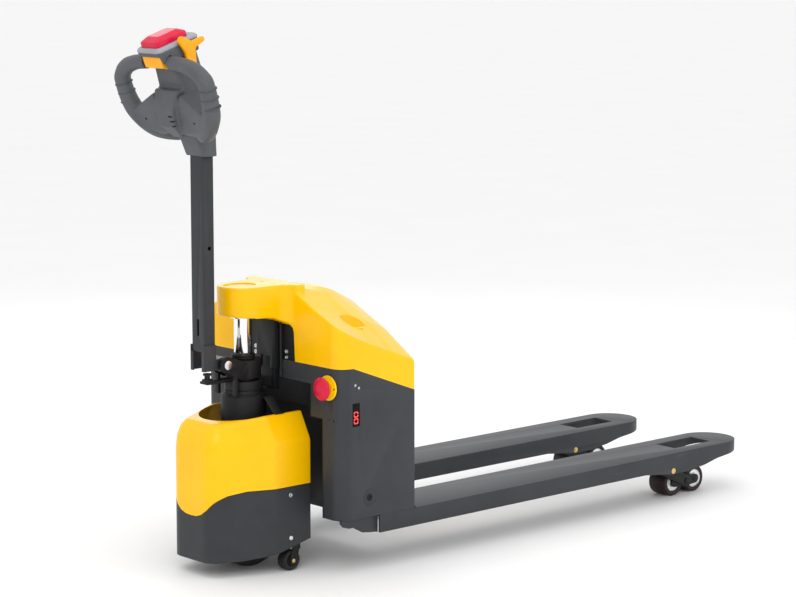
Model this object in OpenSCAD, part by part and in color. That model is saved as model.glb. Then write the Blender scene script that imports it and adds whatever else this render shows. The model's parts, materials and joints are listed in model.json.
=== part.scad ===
// Electric pallet truck. Millimetres, +X towards the fork tips, +Z up, floor at Z = 0.
// Inside the modules X = 0 is the fork heel, and Z = 0 is the fork top at rest.

/* [Overall] */
// Width across both forks
overall_width = 520; // [480:5:690]
// Fork length from heel to tip
fork_length = 1220; // [900:10:1500]
// Height of the fork top above the floor at rest
fork_top = 133; // [110:1:160]
// Width of one fork
fork_width = 156; // [140:2:200]
// Side height of a fork
fork_depth = 44; // [38:1:56]

/* [Chassis] */
// Front face of the battery box, ahead of the heel
box_front = 246; // [230:1:300]
// Rear face of the battery box, ahead of the heel
box_rear = 6; // [2:1:12]
// Corner radius of the box in plan
box_corner = 35; // [20:1:50]
// Height of the hood's lower edge above the fork top
hood_seat = 366; // [340:1:420]
// Height of the hood crest above the fork top
hood_crest = 548; // [520:1:620]
// Sheet thickness of covers and shells
sheet = 3; // [2:0.5:5]

/* [Steering and lift] */
// Steering axis, ahead of the heel
steer_x = 331.5; // [320:0.5:360]
// Radius of the swept recess in the box
recess_r = 209; // [200:1:216]
// Radius of the lift rod
rod_r = 22; // [18:0.5:28]
// Radius of the neck drum
drum_r = 55; // [50:1:64]
// Radial running clearance of shafts and pins
run = 0.05; // [0.02:0.01:0.1]
// Clearance between sliding guides
slide_gap = 0.4; // [0.3:0.1:1]

/* [Wheels] */
// Drive wheel diameter
drive_d = 210; // [180:5:255]
// Drive wheel width
drive_w = 70; // [60:1:80]
// Load roller diameter
roller_d = 74; // [62:1:90]
// Load roller width
roller_w = 60; // [50:1:62]
// Load arm length from pivot to bogie axle
arm_len = 107; // [100:1:120]
// Stabiliser wheel diameter
stab_d = 50; // [44:1:60]

/* [Tiller] */
// Tiller pivot, ahead of the steering axis
pivot_out = 79.5; // [76:0.5:90]
// Tube width
tube_w = 48; // [40:1:52]
// Tube depth
tube_d = 33; // [28:1:40]
// Tube length
tube_len = 474; // [420:1:560]
// Backward tilt of the head
head_tilt = 18; // [10:1:30]
// Half width of the grip loops to the tube centre
grip_y = 166; // [150:1:185]
// Grip radius
grip_r = 19; // [16:0.5:22]

/* [Hidden] */
$fn = 64;
e = 0.01;
hw = overall_width/2;
fy = hw - fork_width/2;
L = fork_length;
dz = 133 - fork_top;                 // drive unit stays on the floor
fl = -133;                           // floor in drive unit heights
sx = -steer_x;
dr = drive_d/2;
frame_z = fl + drive_d + 5;          // underside of the drive frame top plate
drum_z = frame_z + 8;
gland_r = rod_r + 6;
journal_r = gland_r + 2;
yoke_r = journal_r + 16;
px = sx - pivot_out; pz = 370;       // tiller pivot
tube_x = px - 39.5; tube_z = pz + 34;
tube_top = tube_z + tube_len;
head_out = -(tube_x - 46.5 - 30*cos(head_tilt) - 264*sin(head_tilt));
xc = (L - head_out)/2;
fork_t = 5;
seat_step = 0.3;                     // seat of the battery box on the forks
rr = roller_d/2;
piv_x = L - 294; piv_z = -48.6;      // load arm pivot
drop = fork_top + piv_z - rr;        // pivot height above the bogie axle
arm_a = asin(drop/arm_len);
bog_x = piv_x + arm_len*cos(arm_a); bog_z = piv_z - drop;
half_base = rr + 4.5;
pin_up = 26.6;                       // load arm lever
rod_z = piv_z + pin_up;
crank_x = -157; crank_z = 48;
crank_len = crank_z - rod_z;
stab_x = sx + 39.5; stab_y = 118; stab_w = 30;
panel_y = 140;
post_y = 32; post_t = 2.4;
arm_y = 16; arm_top = 322; lift_low = 48;   // yoke arm, and travel below rest
stop_y = 15;                         // half width of the tiller stop
cables_x = -box_front - 2;

// ---------- helpers ----------
module place() translate([-xc, 0, fork_top]) children();
module du() place() translate([0, 0, dz]) children();          // on the floor-standing drive unit
module ycyl(r, y0, y1, x=0, z=0) translate([x, y0, z]) rotate([-90, 0, 0]) cylinder(r=r, h=y1-y0);
module box(x0, x1, y0, y1, z0, z1) translate([x0, y0, z0]) cube([x1-x0, y1-y0, z1-z0]);
module xz(y0, y1) translate([0, y1, 0]) rotate([90, 0, 0]) linear_extrude(y1-y0) children();
module yz(x0, x1) translate([x0, 0, 0]) rotate([90, 0, 90]) linear_extrude(x1-x0) children();
module tube(r0, r1, z0, z1) translate([0,0,z0]) difference() { cylinder(r=r1, h=z1-z0); translate([0,0,-1]) cylinder(r=r0, h=z1-z0+2); }

// ---------- chassis ----------
module fork_plan(o=0) offset(delta=o) union() {
  translate([-124, fy-fork_width/2]) square([124+L-fork_width/2, fork_width]);
  translate([L-fork_width/2, fy]) circle(r=fork_width/2, $fn=96);
}
module fork_side(t=0) polygon([[-130,-t],[L+5,-t],[L+5,-27],[L-32,-29],[L-117,-38],[L-169,-49],[L-235,-57],[L-300,-57],[L-405,-fork_depth],[-130,-fork_depth]]);
module fork() color([0.29,0.31,0.33]) difference() {
  intersection() { translate([0,0,-80]) linear_extrude(80) fork_plan(); xz(0, hw+10) fork_side(); }
  translate([0,0,-80-fork_t]) linear_extrude(80) fork_plan(-fork_t);
  box(L-243, L-101, fy-35, fy+35, -20, 5);
  box(-130, -118, fy-fork_width/2+fork_t, fy+fork_width/2-fork_t, -80, -fork_t);
  box(-130, -box_rear+0.5, fy-fork_width/2-1, fy+fork_width/2+1, -seat_step, 1);
  ycyl(8+run, 0, hw+10, piv_x, piv_z);
}
module fork_left() place() fork();
module fork_right() place() mirror([0,1,0]) fork();

module box_plan(o=0) offset(delta=o) hull() {
  for (s=[-1,1]) { translate([-box_front+box_corner, s*(hw-box_corner)]) circle(r=box_corner);
    translate([-box_rear-10, s*(hw-10)]) circle(r=10); }
}
module seat_line(x) polygon([[-box_front-5,0],[5,0],[5,286],[-box_rear,290],[-207,hood_seat],[-box_front-5,hood_seat]]);
module recess(o) translate([sx,0,0]) rotate_extrude($fn=128) polygon([[0,-100],[recess_r+o,-100],[recess_r+o,240+o],[recess_r-39+o,240+o],[recess_r-39+o,318+o],[0,318+o]]);
module box_shell() color([0.27,0.29,0.31]) place() difference() {
  intersection() { linear_extrude(400) difference() { box_plan(); box_plan(-sheet); } xz(-hw-5, hw+5) seat_line(); }
  recess(sheet);
  box(-210,-187, -hw-1, -hw+sheet+1, 226, 282);
  for (s=[-1,1]) ycyl(21, s*hw-sheet-1, s*hw+sheet+1, crank_x, crank_z);
  translate([-box_front-1, -hw+45, 319]) rotate([0,90,0]) cylinder(r=16.05, h=sheet+2);
  for (p=[[-200.7,325.5],[-189.7,318]]) ycyl(3.2, -hw-1, -hw+sheet+1, p[0], p[1]);
  for (p=[[-hw+41,243],[-hw+28,241]]) translate([-box_front-1,p[0],p[1]]) rotate([0,90,0]) cylinder(r=2, h=20);
}
module recess_liner() color([0.13,0.14,0.15]) place() intersection() {
  linear_extrude(400) box_plan();
  translate([sx,0,0]) rotate_extrude($fn=128) polygon([[recess_r,0],[recess_r+sheet,0],[recess_r+sheet,240+sheet],[recess_r-39+sheet,240+sheet],
    [recess_r-39+sheet,318+sheet],[0,318+sheet],[0,318],[recess_r-39,318],[recess_r-39,240],[recess_r,240]]);
}
module lobe_side() polygon([[-box_front+6,0],[-box_front+6,-6],[-box_front+14,-16],[-215,-21],[-200,-21],[-190,-27],[-172,-37],[-150,-40],[-124,-43],[-124,0]]);
module floor_frame() color([0.24,0.26,0.28]) place() difference() {
  union() {
    translate([0,0,0]) linear_extrude(5) box_plan(-sheet);
    for (s=[-1,1]) xz(s*(hw-11)-3, s*(hw-11)+3) lobe_side();
    box(-60, -box_rear, -fy+fork_width/2, fy-fork_width/2, -fork_depth+2, 0);
  }
  translate([sx,0,-100]) cylinder(r=recess_r+sheet+0.03, h=200, $fn=128);
  for (s=[-1,1]) box(crank_x-45, crank_x+45, s*fy-18, s*fy+18, -1, 6);
  box(-52, -14, -fy+fork_width/2-1, fy-fork_width/2+1, -fork_depth+10, -8);
}
module mast_plate() color([0.14,0.15,0.16]) place() union() {
  box(-box_front+sheet, -box_front+sheet+6, -92, 92, 318+sheet, hood_crest-66);
  for (s=[-1,1]) box(-box_front+sheet+6, -box_front+sheet+46, s*88-4, s*88+4, 318+sheet, hood_crest-66);
}
module mast_bolts() color([0.8,0.8,0.82]) place() for (p=[[-58,372],[-58,386],[-50,372]], s=[1,-1])
  if (p[0] != -50) translate([-box_front+sheet-3.5, s*p[0], p[1]]) rotate([0,90,0]) cylinder(r=5.2, h=3.5, $fn=32);
module guide_column() color([0.12,0.12,0.13]) place() difference() {
  box(-box_front-17, -box_front, -post_y-slide_gap-post_t, post_y+slide_gap+post_t, 343, hood_crest-84);
  box(-box_front-17+post_t, -box_front+1, -post_y-slide_gap, post_y+slide_gap, 300, hood_crest);
  box(-box_front-18, -box_front-17+post_t+1, -arm_y-1, arm_y+1, 300, arm_top+lift_low+2);   // clears the yoke arm when lowered
}
module beam_side() polygon([[sx-42,485],[sx+36,485],[-box_front+sheet,466],[-box_front+sheet,482],[-190,482],[-190,hood_crest-22],[sx-42,hood_crest-22]]);
module bridge_beam() color([0.2,0.21,0.22]) place() intersection() {
  xz(-45,45) beam_side();
  translate([0,0,400]) linear_extrude(200) hull() { translate([sx,0]) circle(r=40); translate([-190,-40]) square([1,80]); }
}
module lift_rod() color([0.86,0.87,0.88]) place() translate([sx,0,0]) union() {
  translate([0,0,180]) cylinder(r=rod_r, h=472-180);
  translate([0,0,472]) cylinder(r=rod_r+9, h=13);
}
// hood
function side_pts(o) = [ // x, crest, mid, side
 [-box_front, hood_crest, hood_crest-46, hood_crest-87],
 [-150, hood_crest-12, hood_crest-74, hood_crest-134],
 [-box_rear, hood_crest-61, hood_crest-110, hood_crest-189]];
module hood_slice(p, o, x) yz(x-0.5, x+0.5) offset(delta=-o)
  polygon([[-hw,hood_seat-90],[-hw,p[3]],[-hw*0.6,p[2]],[-hw*0.26,p[1]],[hw*0.26,p[1]],[hw*0.6,p[2]],[hw,p[3]],[hw,hood_seat-90]]);
module hood_mass(o) hull() { q=side_pts(0);
  hood_slice(q[0],o,q[0][0]+0.5+o); hood_slice(q[1],o,q[1][0]); hood_slice(q[2],o,q[2][0]-0.5-o); }
module tongue_plan(o) offset(delta=-o) union() {
  hull() { translate([sx,0]) circle(r=62); translate([-box_front+2,-65]) square([1,130]); }
  difference() { translate([-box_front-32,-97]) square([34,194]); for (s=[-1,1]) translate([-box_front-32, s*97]) circle(r=32); }
}
module tongue_side(o) polygon([[sx-70,480-o],[sx+45,471-o],[-box_front+5,453-o],[-box_front+5,hood_crest-o],[sx-40,hood_crest+3-o],[sx-70,hood_crest-6-o]]);
module tongue(o) intersection() { translate([0,0,400]) linear_extrude(200) tongue_plan(o); xz(-100,100) tongue_side(o); }
module arch(o=0) yz(-box_front-40, -box_front+60) polygon([[-95+o,300],[-88+o,440],[-75,454],[75,454],[88-o,440],[95-o,300]]);
module scoop_at() translate([-134, -hw*0.68, hood_crest-94]) rotate([24,10,0]) children();
module scoop_form(r, h) hull() for (x=[-12,12]) translate([x,0,0]) cylinder(r=r, h=h, $fn=32);
module hood() color([1,0.78,0]) place() difference() {
  union() {
    difference() {
      intersection() { hood_mass(0); translate([0,0,200]) linear_extrude(400) box_plan(); }
      intersection() { hood_mass(sheet); translate([0,0,200]) linear_extrude(400) box_plan(-sheet); }
      translate([0,0,0]) xz(-hw-5,hw+5) seat_line();
      xz(-hw-5,hw+5) translate([0,-200]) seat_line();
    }
    intersection() { hood_mass(0.4); scoop_at() translate([0,0,-14]) scoop_form(21, 40); }
    difference() { tongue(0); tongue(sheet); box(-box_front+sheet, 0, -90, 90, 400, 600);}
  }
  arch();
  box(-box_front-1, -box_front+sheet+0.5, -45.4, 45.4, 440, hood_crest-21.5);
  intersection() { tongue(sheet); box(-400,-box_front+sheet+1,-90,90,400,600); }
  scoop_at() translate([0,0,-8]) scoop_form(18, 40);
}
module battery_pack() color([0.2,0.22,0.26]) place() box(sx+recess_r+sheet+2, -28, -150, 150, 5, 270);
module estop_button() color([0.85,0.05,0.12]) place() translate([-box_front, -hw+45, 319]) rotate([0,-90,0]) rotate_extrude()
  polygon([[0,-sheet-6],[13,-sheet-6],[13,-sheet-3.5],[9,-sheet-3.5],[9,11],[12,15],[20,16.2],[26,17.5],[28,20],[27.6,23],[24,26.5],[16,29],[0,30]]);
module estop_ring() color([1,0.85,0]) place() translate([-box_front, -hw+45, 319]) rotate([0,-90,0]) difference() {
  union() { cylinder(r=30, h=4); translate([0,0,-sheet-2]) cylinder(r=16, h=sheet+2+e); cylinder(r=20, h=6);}
  translate([0,0,-sheet-3]) cylinder(r=9+0.35, h=20);
}
module display_window() color([0.03,0.03,0.03]) place() difference() { box(-210,-187,-hw,-hw+4,226,282); box(-206.5,-190.5,-hw-1,-hw+1,230,264); }
module seg(x,z) { box(x-5,x+5,-hw+0.3,-hw+1,z-1,z+1); }
module display_digits() color([0.95,0.05,0.05]) place() for (zc=[239,255]) for (k=[-1,1]) {
  box(-204,-193,-hw+0.3,-hw+1,zc-0.9+k*5.6,zc+0.9+k*5.6);
  box(-198.5+k*5.5-1,-198.5+k*5.5+1,-hw+0.3,-hw+1,zc+1.2,zc+4.4);
  box(-198.5+k*5.5-1,-198.5+k*5.5+1,-hw+0.3,-hw+1,zc-4.4,zc-1.2);
}
module indicator_lamps() color([0.8,0.82,0.84]) place() for (p=[[-200.7,325.5],[-189.7,318]]) {
  ycyl(3.2, -hw+0.1, -hw+sheet+1, p[0], p[1]); ycyl(4.4, -hw+sheet, -hw+sheet+2, p[0], p[1]); }
module pivot_caps() color([0.3,0.32,0.34]) place() for (s=[-1,1]) translate([crank_x,0,crank_z]) {
  if (s>0) ycyl(21, hw-sheet, hw-0.2); else ycyl(21, -hw+0.2, -hw+sheet);
  if (s>0) ycyl(15, fy+20, hw-sheet); else ycyl(15, -hw+sheet, -fy-20);
  if (s>0) ycyl(10, fy-24, fy+20); else ycyl(10, -fy-20, -fy+24);
  if (s>0) ycyl(16, fy-30, fy-24); else ycyl(16, -fy+24, -fy+30);
}
module arm_pins() color([0.75,0.6,0.3]) place() for (s=[-1,1]) translate([piv_x, s*fy, piv_z]) {
  ycyl(8, -fork_width/2, fork_width/2); }
module conduit() color([0.06,0.06,0.06]) place() translate([-box_front-4.5, -44, 0]) union() {
  translate([0,0,330]) cylinder(r=3, h=hood_crest-84-330); translate([0,0,326]) cylinder(r=4.5, h=14); }

// ---------- guide yoke (carries both the lift slide and the steering) ----------
module guide_yoke() color([0.16,0.17,0.18]) du() difference() {
  union() {
    translate([sx,0,300]) cylinder(r=yoke_r, h=22);
    box(sx+10, -box_front-17+post_t+slide_gap+1, -arm_y, arm_y, 300, arm_top);
    box(-box_front-17+post_t+slide_gap, -box_front-slide_gap, -post_y, post_y, 291, 410);
  }
  translate([sx,0,290]) cylinder(r=journal_r+run, h=40);
  box(-box_front-10, -box_front, -post_y+4, post_y-4, 330, 420);
}

// ---------- drive unit ----------
module lift_cylinder() color([0.1,0.1,0.11]) du() translate([sx,0,0]) difference() {
  union() {
    translate([0,0,drum_z+20]) cylinder(r=gland_r-2, h=290-drum_z-20);
    translate([0,0,290]) cylinder(r=journal_r, h=39);
    translate([0,0,329]) cylinder(r=gland_r, h=56);
    for (z=[374,379.5]) translate([0,0,z]) cylinder(r=gland_r+1.2, h=2.5);
  }
  translate([0,0,drum_z+26]) cylinder(r=rod_r+run, h=400);
}
module neck_drum() color([0.09,0.09,0.1]) du() translate([sx,0,0]) difference() {
  union() {
    translate([0,0,drum_z]) cylinder(r=drum_r, h=287-drum_z);
    translate([0,0,287]) cylinder(r=drum_r-3, h=3);
    translate([0,0,290]) cylinder(r=yoke_r, h=9.6);
  }
  translate([0,0,drum_z+20]) cylinder(r=gland_r-2, h=290-drum_z);
  translate([0,0,290]) cylinder(r=journal_r, h=20);
}
module ear_side() { hull() { translate([px,pz]) circle(r=18); translate([sx-gland_r-8,329]) square([10,43]); } }
module tiller_bracket() color([0.08,0.08,0.09]) du() difference() {
  union() {
    translate([sx,0,329]) cylinder(r=gland_r+15, h=43);
    for (s=[-1,1]) xz(s*34-6.5, s*34+6.5) ear_side();
    box(sx-gland_r-2, sx, -40.5, 40.5, 331, 368);
    for (s=[-1,1]) ycyl(20, s*37-3.5, s*37+3.5, px, pz);
    box(px-41, sx-journal_r-4, -stop_y, stop_y, 323, 329);
    for (s=[-1,1]) box(sx-yoke_r-9, sx-yoke_r-2, s*34-6.5, s*34+6.5, 290, 345);
  }
  translate([sx,0,280]) cylinder(r=gland_r, h=200);
  translate([sx,0,280]) cylinder(r=yoke_r+1, h=42.6);
  box(px-30, sx-gland_r-13, -27, 27, 329.5, 400);
  ycyl(8, -60, 60, px, pz);
}
module tiller_pivot_pin() color([0.55,0.56,0.58]) du() union() {
  ycyl(8, -40.5, 40.5, px, pz);
  for (s=[-1,1]) ycyl(11, s*42.5-2, s*42.5+2, px, pz);
}
module tiller_bumper() color([0.05,0.05,0.05]) du() translate([px-30,0,329]) union() {
  cylinder(r=13, h=5); cylinder(r=7, h=19); translate([0,0,15]) cylinder(r=10.5, h=4);
}
module drive_frame() color([0.16,0.17,0.18]) du() difference() {
  union() {
    translate([sx,0,frame_z]) cylinder(r=72, h=8);
    box(sx-112, sx, -36, 36, frame_z, frame_z+8);
    for (s=[-1,1]) box(sx-32, sx+32, s*(drive_w/2+9)-5, s*(drive_w/2+9)+5, fl+dr-30, frame_z);
  }
  ycyl(12+run, -80, 80, sx, fl+dr);
}
module traction_motor() color([0.35,0.36,0.38]) du() union() {
  translate([sx,0,fl+dr]) rotate([-90,0,0]) difference() {
    union() {
      translate([0,0,drive_w/2+14]) cylinder(r=50, h=50);
      for (i=[0:5]) translate([0,0,drive_w/2+20+i*7]) cylinder(r=53, h=3);
      translate([0,0,drive_w/2+64]) cylinder(r=40, h=8);
    }
    translate([0,0,0]) cylinder(r=14, h=60);
  }
  translate([sx,0,fl+dr]) rotate([90,0,0]) difference() {
    union() { translate([0,0,drive_w/2+14]) cylinder(r=46, h=14); translate([0,0,drive_w/2+28]) cylinder(r=24, h=10);}
    translate([0,0,0]) cylinder(r=14, h=60);
  }
}
module pump_motor() color([0.3,0.3,0.32]) du() translate([sx-96,0,frame_z+8]) union() {
  cylinder(r=30, h=90); translate([0,0,90]) cylinder(r=32, h=14); translate([0,0,104]) cylinder(r=12, h=12);
}
module stabiliser_frame() color([0.05,0.05,0.05]) du() difference() {
  union() for (s=[-1,1]) {
    difference() {
      box(stab_x-24, stab_x+24, s>0?drive_w/2+6:-panel_y+sheet, s>0?panel_y-sheet:-drive_w/2-6, -66, -60);
      ycyl(54.5, s>0?drive_w/2+14:-drive_w/2-84, s>0?drive_w/2+84:-drive_w/2-14, sx, fl+dr);
      box(sx, sx+32, -drive_w/2-14, drive_w/2+14, -70, -50);
    }
    for (k=[-1,1]) box(stab_x+2, stab_x+22, s*stab_y+k*(stab_w/2+2)-1.5, s*stab_y+k*(stab_w/2+2)+1.5, -80, -62);
    for (k=[-1,1]) xz(s*stab_y+k*(stab_w/2+2)-1.5, s*stab_y+k*(stab_w/2+2)+1.5) polygon([[stab_x+3,-64],[stab_x+22,-64],[stab_x+10,fl+stab_d/2-9],[stab_x-8,fl+stab_d/2-9],[stab_x-9,fl+stab_d/2+6]]);
    box(sx+32, sx+62, s*(drive_w/2+9)-5, s*(drive_w/2+9)+5, -66, -34);
    box(-318, -288, s*(panel_y-sheet-2)-2, s*(panel_y-sheet-2)+2, -66, 68);
  }
  for (s=[-1,1]) { ycyl(5, s*stab_y-40, s*stab_y+40, stab_x, fl+stab_d/2);
    for (z=[56,-49]) ycyl(3.2, s*(panel_y-6)-9, s*(panel_y-6)+9, -303, z); }
}
module stabiliser_axles() color([0.75,0.6,0.28]) du() for (s=[-1,1]) ycyl(5, s*stab_y-20.5, s*stab_y+20.5, stab_x, fl+stab_d/2);
// drive cover
module cover_front(o) for (s=[-1,1]) translate([sx-117.5, s*43, 0]) rotate_extrude($fn=48)
  polygon([[0,-104],[45-o,-104],[45-o,165],[42-o,195],[33-o*0.7,220-o*0.7],[18,236-o],[0,241-o]]);
module cover_rear(o) yz(-348+o/2, o>0 ? -225 : -237) polygon([[-panel_y+o,-104],[-panel_y+o,185-o*0.5],[-106+o*0.6,248-o],[106-o*0.6,248-o],[panel_y-o,185-o*0.5],[panel_y-o,-104]]);
module cover_skin() difference() {
  hull() { cover_front(0); cover_rear(0); }
  hull() { translate([0,0,-2]) cover_front(sheet); cover_rear(sheet); translate([0,0,-10]) cover_rear(sheet);}
  translate([sx,0,150]) linear_extrude(200) union() { scale([1.145,1]) circle(r=100); translate([0,-100]) square([140,200]); }
  xz(-200,200) polygon([[-560,-98],[-420,-93],[-348,-84],[-309,-75],[-230,-57],[-230,-140],[-560,-140]]);
  for (s=[-1,1], z=[56,-49]) ycyl(3.2, s*(panel_y-6)-9, s*(panel_y-6)+9, -303, z);
}
swoop = [[0,12],[20,13],[38,19],[56,32],[72,50],[90,67],[110,75],[150,77]];
module below_swoop() yz(-560,-200) polygon(concat([for (p=swoop) p], [[150,-200],[-150,-200]], [for (i=[len(swoop)-1:-1:0]) [-swoop[i][0], swoop[i][1]]]));
module cover_lower() color([0.25,0.27,0.29]) du() intersection() { cover_skin(); below_swoop(); }
module cover_upper() color([1,0.8,0]) du() difference() { cover_skin(); below_swoop(); }
module cover_screws() color([0.85,0.85,0.86]) du() for (s=[-1,1], z=[56,-49]) translate([-303,0,z]) {
  if (s>0) { ycyl(3.1, panel_y-sheet-4, panel_y); ycyl(5.5, panel_y, panel_y+2.2);}
  else { ycyl(3.1, -panel_y, -panel_y+sheet+4); ycyl(5.5, -panel_y-2.2, -panel_y);} }
module cover_straps() color([0.13,0.13,0.14]) du() for (s=[-1,1]) difference() {
  yz(-318,-292) scale([s,1]) polygon([[30,284],[62,284],[66,281],[96,251],[106,251],[106,248],[94.5,248],[60,281],[30,281]]);
  translate([sx,0,200]) cylinder(r=drum_r+0.03, h=100);
}
// wheels of the drive unit
module drive_tyre() color([0.06,0.06,0.06]) du() translate([sx,0,fl+dr]) rotate([-90,0,0]) rotate_extrude($fn=96)
  polygon([[dr-22,-drive_w/2+2],[dr-4,-drive_w/2],[dr,-drive_w/2+5],[dr,drive_w/2-5],[dr-4,drive_w/2],[dr-22,drive_w/2-2]]);
module drive_hub() color([0.5,0.51,0.53]) du() translate([sx,0,fl+dr]) rotate([-90,0,0]) union() {
  rotate_extrude($fn=96) polygon([[0,-16],[40,-16],[dr-30,-drive_w/2+6],[dr-22,-drive_w/2+2],[dr-22,drive_w/2-2],[dr-30,drive_w/2-6],[40,16],[0,16]]);
  translate([0,0,-drive_w/2-13.5]) cylinder(r=12, h=drive_w+27);
  for (k=[-1,1]) translate([0,0,k*(drive_w/2-9)-9.5]) cylinder(r=24, h=19);
}
module stab_wheel(s) color([0.07,0.07,0.07]) du() translate([stab_x, s*stab_y, fl+stab_d/2]) rotate([-90,0,0]) difference() {
  rotate_extrude() polygon([[0,-stab_w/2],[12,-stab_w/2],[14,-stab_w/2+2],[20,-stab_w/2+2],[stab_d/2-2,-stab_w/2],[stab_d/2,-stab_w/2+3],[stab_d/2,stab_w/2-3],[stab_d/2-2,stab_w/2],[20,stab_w/2-2],[14,stab_w/2-2],[12,stab_w/2],[0,stab_w/2]]);
  translate([0,0,-30]) cylinder(r=5+run, h=60);
}
module stabiliser_wheel_left() stab_wheel(1);
module stabiliser_wheel_right() stab_wheel(-1);

// ---------- lift linkage ----------
module bell_crank(s) color([0.3,0.31,0.32]) place() translate([crank_x, s*fy, crank_z]) difference() {
  union() {
    xz(-7,7) hull() { circle(r=18); translate([0,-crank_len]) circle(r=10); }
    ycyl(18, -16, 16);
    ycyl(5, -17, 17, 0, -crank_len);
  }
  ycyl(10+run, -30, 30);
}
module bell_crank_left() bell_crank(1);
module bell_crank_right() bell_crank(-1);
module rod_end() { hull() { translate([0,2]) circle(r=9.5,$fn=40); translate([0,-5]) circle(r=9,$fn=40); } }
module rod_slot() { hull() { translate([0,1]) circle(r=5.6,$fn=40); translate([0,-5]) circle(r=5.6,$fn=40); } }
module push_rod(s) color([0.4,0.41,0.43]) place() translate([0, s*fy, rod_z]) difference() {
  union() { for (x=[crank_x, piv_x]) translate([x,0,0]) xz(-13.5, 13.5) union() { rod_end(); translate([x<0?0:-34,-9]) square([34,16]); }
    box(crank_x+34, piv_x-34, -13.5, 13.5, -9, 7); }
  for (x=[crank_x, piv_x]) { translate([x,0,0]) xz(-20, 20) rod_slot(); translate([x,0,0]) box(x<0?-40:-30, x<0?30:40, -8.5, 8.5, -40, 40); }
}
module push_rod_left() push_rod(1);
module push_rod_right() push_rod(-1);
arm_y0 = roller_w/2 + 5.4;
module load_arm(s) color([0.12,0.13,0.14]) place() translate([piv_x, s*fy, piv_z]) difference() {
  union() {
    ycyl(11.5, -arm_y0-5, arm_y0+5);
    for (k=[-1,1]) xz(k*(arm_y0+2.5)-2.5, k*(arm_y0+2.5)+2.5) hull() { circle(r=17); translate([bog_x-piv_x, bog_z-piv_z]) circle(r=15); }
    xz(-6,6) hull() { circle(r=11); translate([0,pin_up]) circle(r=7.6); }
    ycyl(5, -16, 16, 0, pin_up);
  }
  ycyl(8+run, -60, 60);
  for (k=[-1,1]) ycyl(8+run, k*(arm_y0+2.5)-4, k*(arm_y0+2.5)+4, bog_x-piv_x, bog_z-piv_z);
}
module load_arm_left() load_arm(1);
module load_arm_right() load_arm(-1);
module bogie(s) color([0.7,0.71,0.72]) place() translate([bog_x, s*fy, bog_z]) union() {
  for (k=[-1,1]) ycyl(8, k>0?roller_w/2+0.7:-arm_y0-6.5, k>0?arm_y0+6.5:-roller_w/2-0.7);
  for (k=[-1,1]) {
    xz(k*(roller_w/2+2.2)-1.6, k*(roller_w/2+2.2)+1.6) hull() { for (q=[-1,1]) translate([q*half_base,0]) circle(r=12); circle(r=15); }
    ycyl(6, -roller_w/2-4.2, roller_w/2+4.2, k*half_base, 0);
  }
}
module bogie_left() bogie(1);
module bogie_right() bogie(-1);
module roller(s, k) color([0.1,0.07,0.07]) place() translate([bog_x + k*half_base, s*fy, bog_z]) rotate([-90,0,0]) difference() {
  rotate_extrude($fn=72) polygon([[0,-roller_w/2+0.2],[13,-roller_w/2+0.2],[14,-roller_w/2+3],[22,-roller_w/2+3],[24,-roller_w/2+1],[rr-3,-roller_w/2+0.6],[rr,-roller_w/2+4],
    [rr,roller_w/2-4],[rr-3,roller_w/2-0.6],[24,roller_w/2-1],[22,roller_w/2-3],[14,roller_w/2-3],[13,roller_w/2-0.2],[0,roller_w/2-0.2]]);
  translate([0,0,-60]) cylinder(r=6+run, h=120);
}
module roller_fl() roller(1,-1);
module roller_rl() roller(1,1);
module roller_fr() roller(-1,-1);
module roller_rr() roller(-1,1);

// ---------- tiller ----------
ch = 24 + 2.5;
module tiller_foot() color([0.2,0.21,0.23]) du() difference() {
  union() {
    for (s=[-1,1]) xz(s*(tube_w/2+1.25)-1.25, s*(tube_w/2+1.25)+1.25) union() {
      translate([tube_x-tube_d/2-3, pz-12]) square([tube_d+3, 62]);
      hull() { translate([px,pz]) circle(r=15); translate([tube_x+tube_d/2-4,pz-11]) square([4,26]); }
    }
    box(tube_x-tube_d/2-3, tube_x-tube_d/2, -tube_w/2-2.5, tube_w/2+2.5, pz-12, pz+34);
    ycyl(14, -tube_w/2-1, tube_w/2+1, px, pz);
  }
  ycyl(8+run, -60, 60, px, pz);
  box(tube_x-tube_d/2-4, tube_x-tube_d/2+0.5, -stop_y-1, stop_y+1, pz-13, tube_z);
}
module tube_plan(o=0) offset(r=3-o) square([tube_d-6, tube_w-6], center=true);
module tiller_tube() color([0.22,0.23,0.25]) du() translate([tube_x,0,0]) difference() {
  translate([0,0,tube_z]) linear_extrude(tube_len) difference() { tube_plan(); offset(delta=-3) tube_plan(); }
  translate([-tube_d/2-5,0,pz+75]) hull() for (z=[0,34]) translate([0,0,z]) rotate([0,90,0]) cylinder(r=4, h=12, $fn=32);
  ycyl(5, -tube_w/2-1, -tube_w/2+6, 2, tube_z+tube_len*0.52);
}
module tiller_spring() color([0.5,0.5,0.52]) du() for (i=[-4:4]) translate([px, i*4.4, pz]) rotate([-90,0,0]) rotate_extrude() translate([16.1,0]) circle(r=2, $fn=24);
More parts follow.
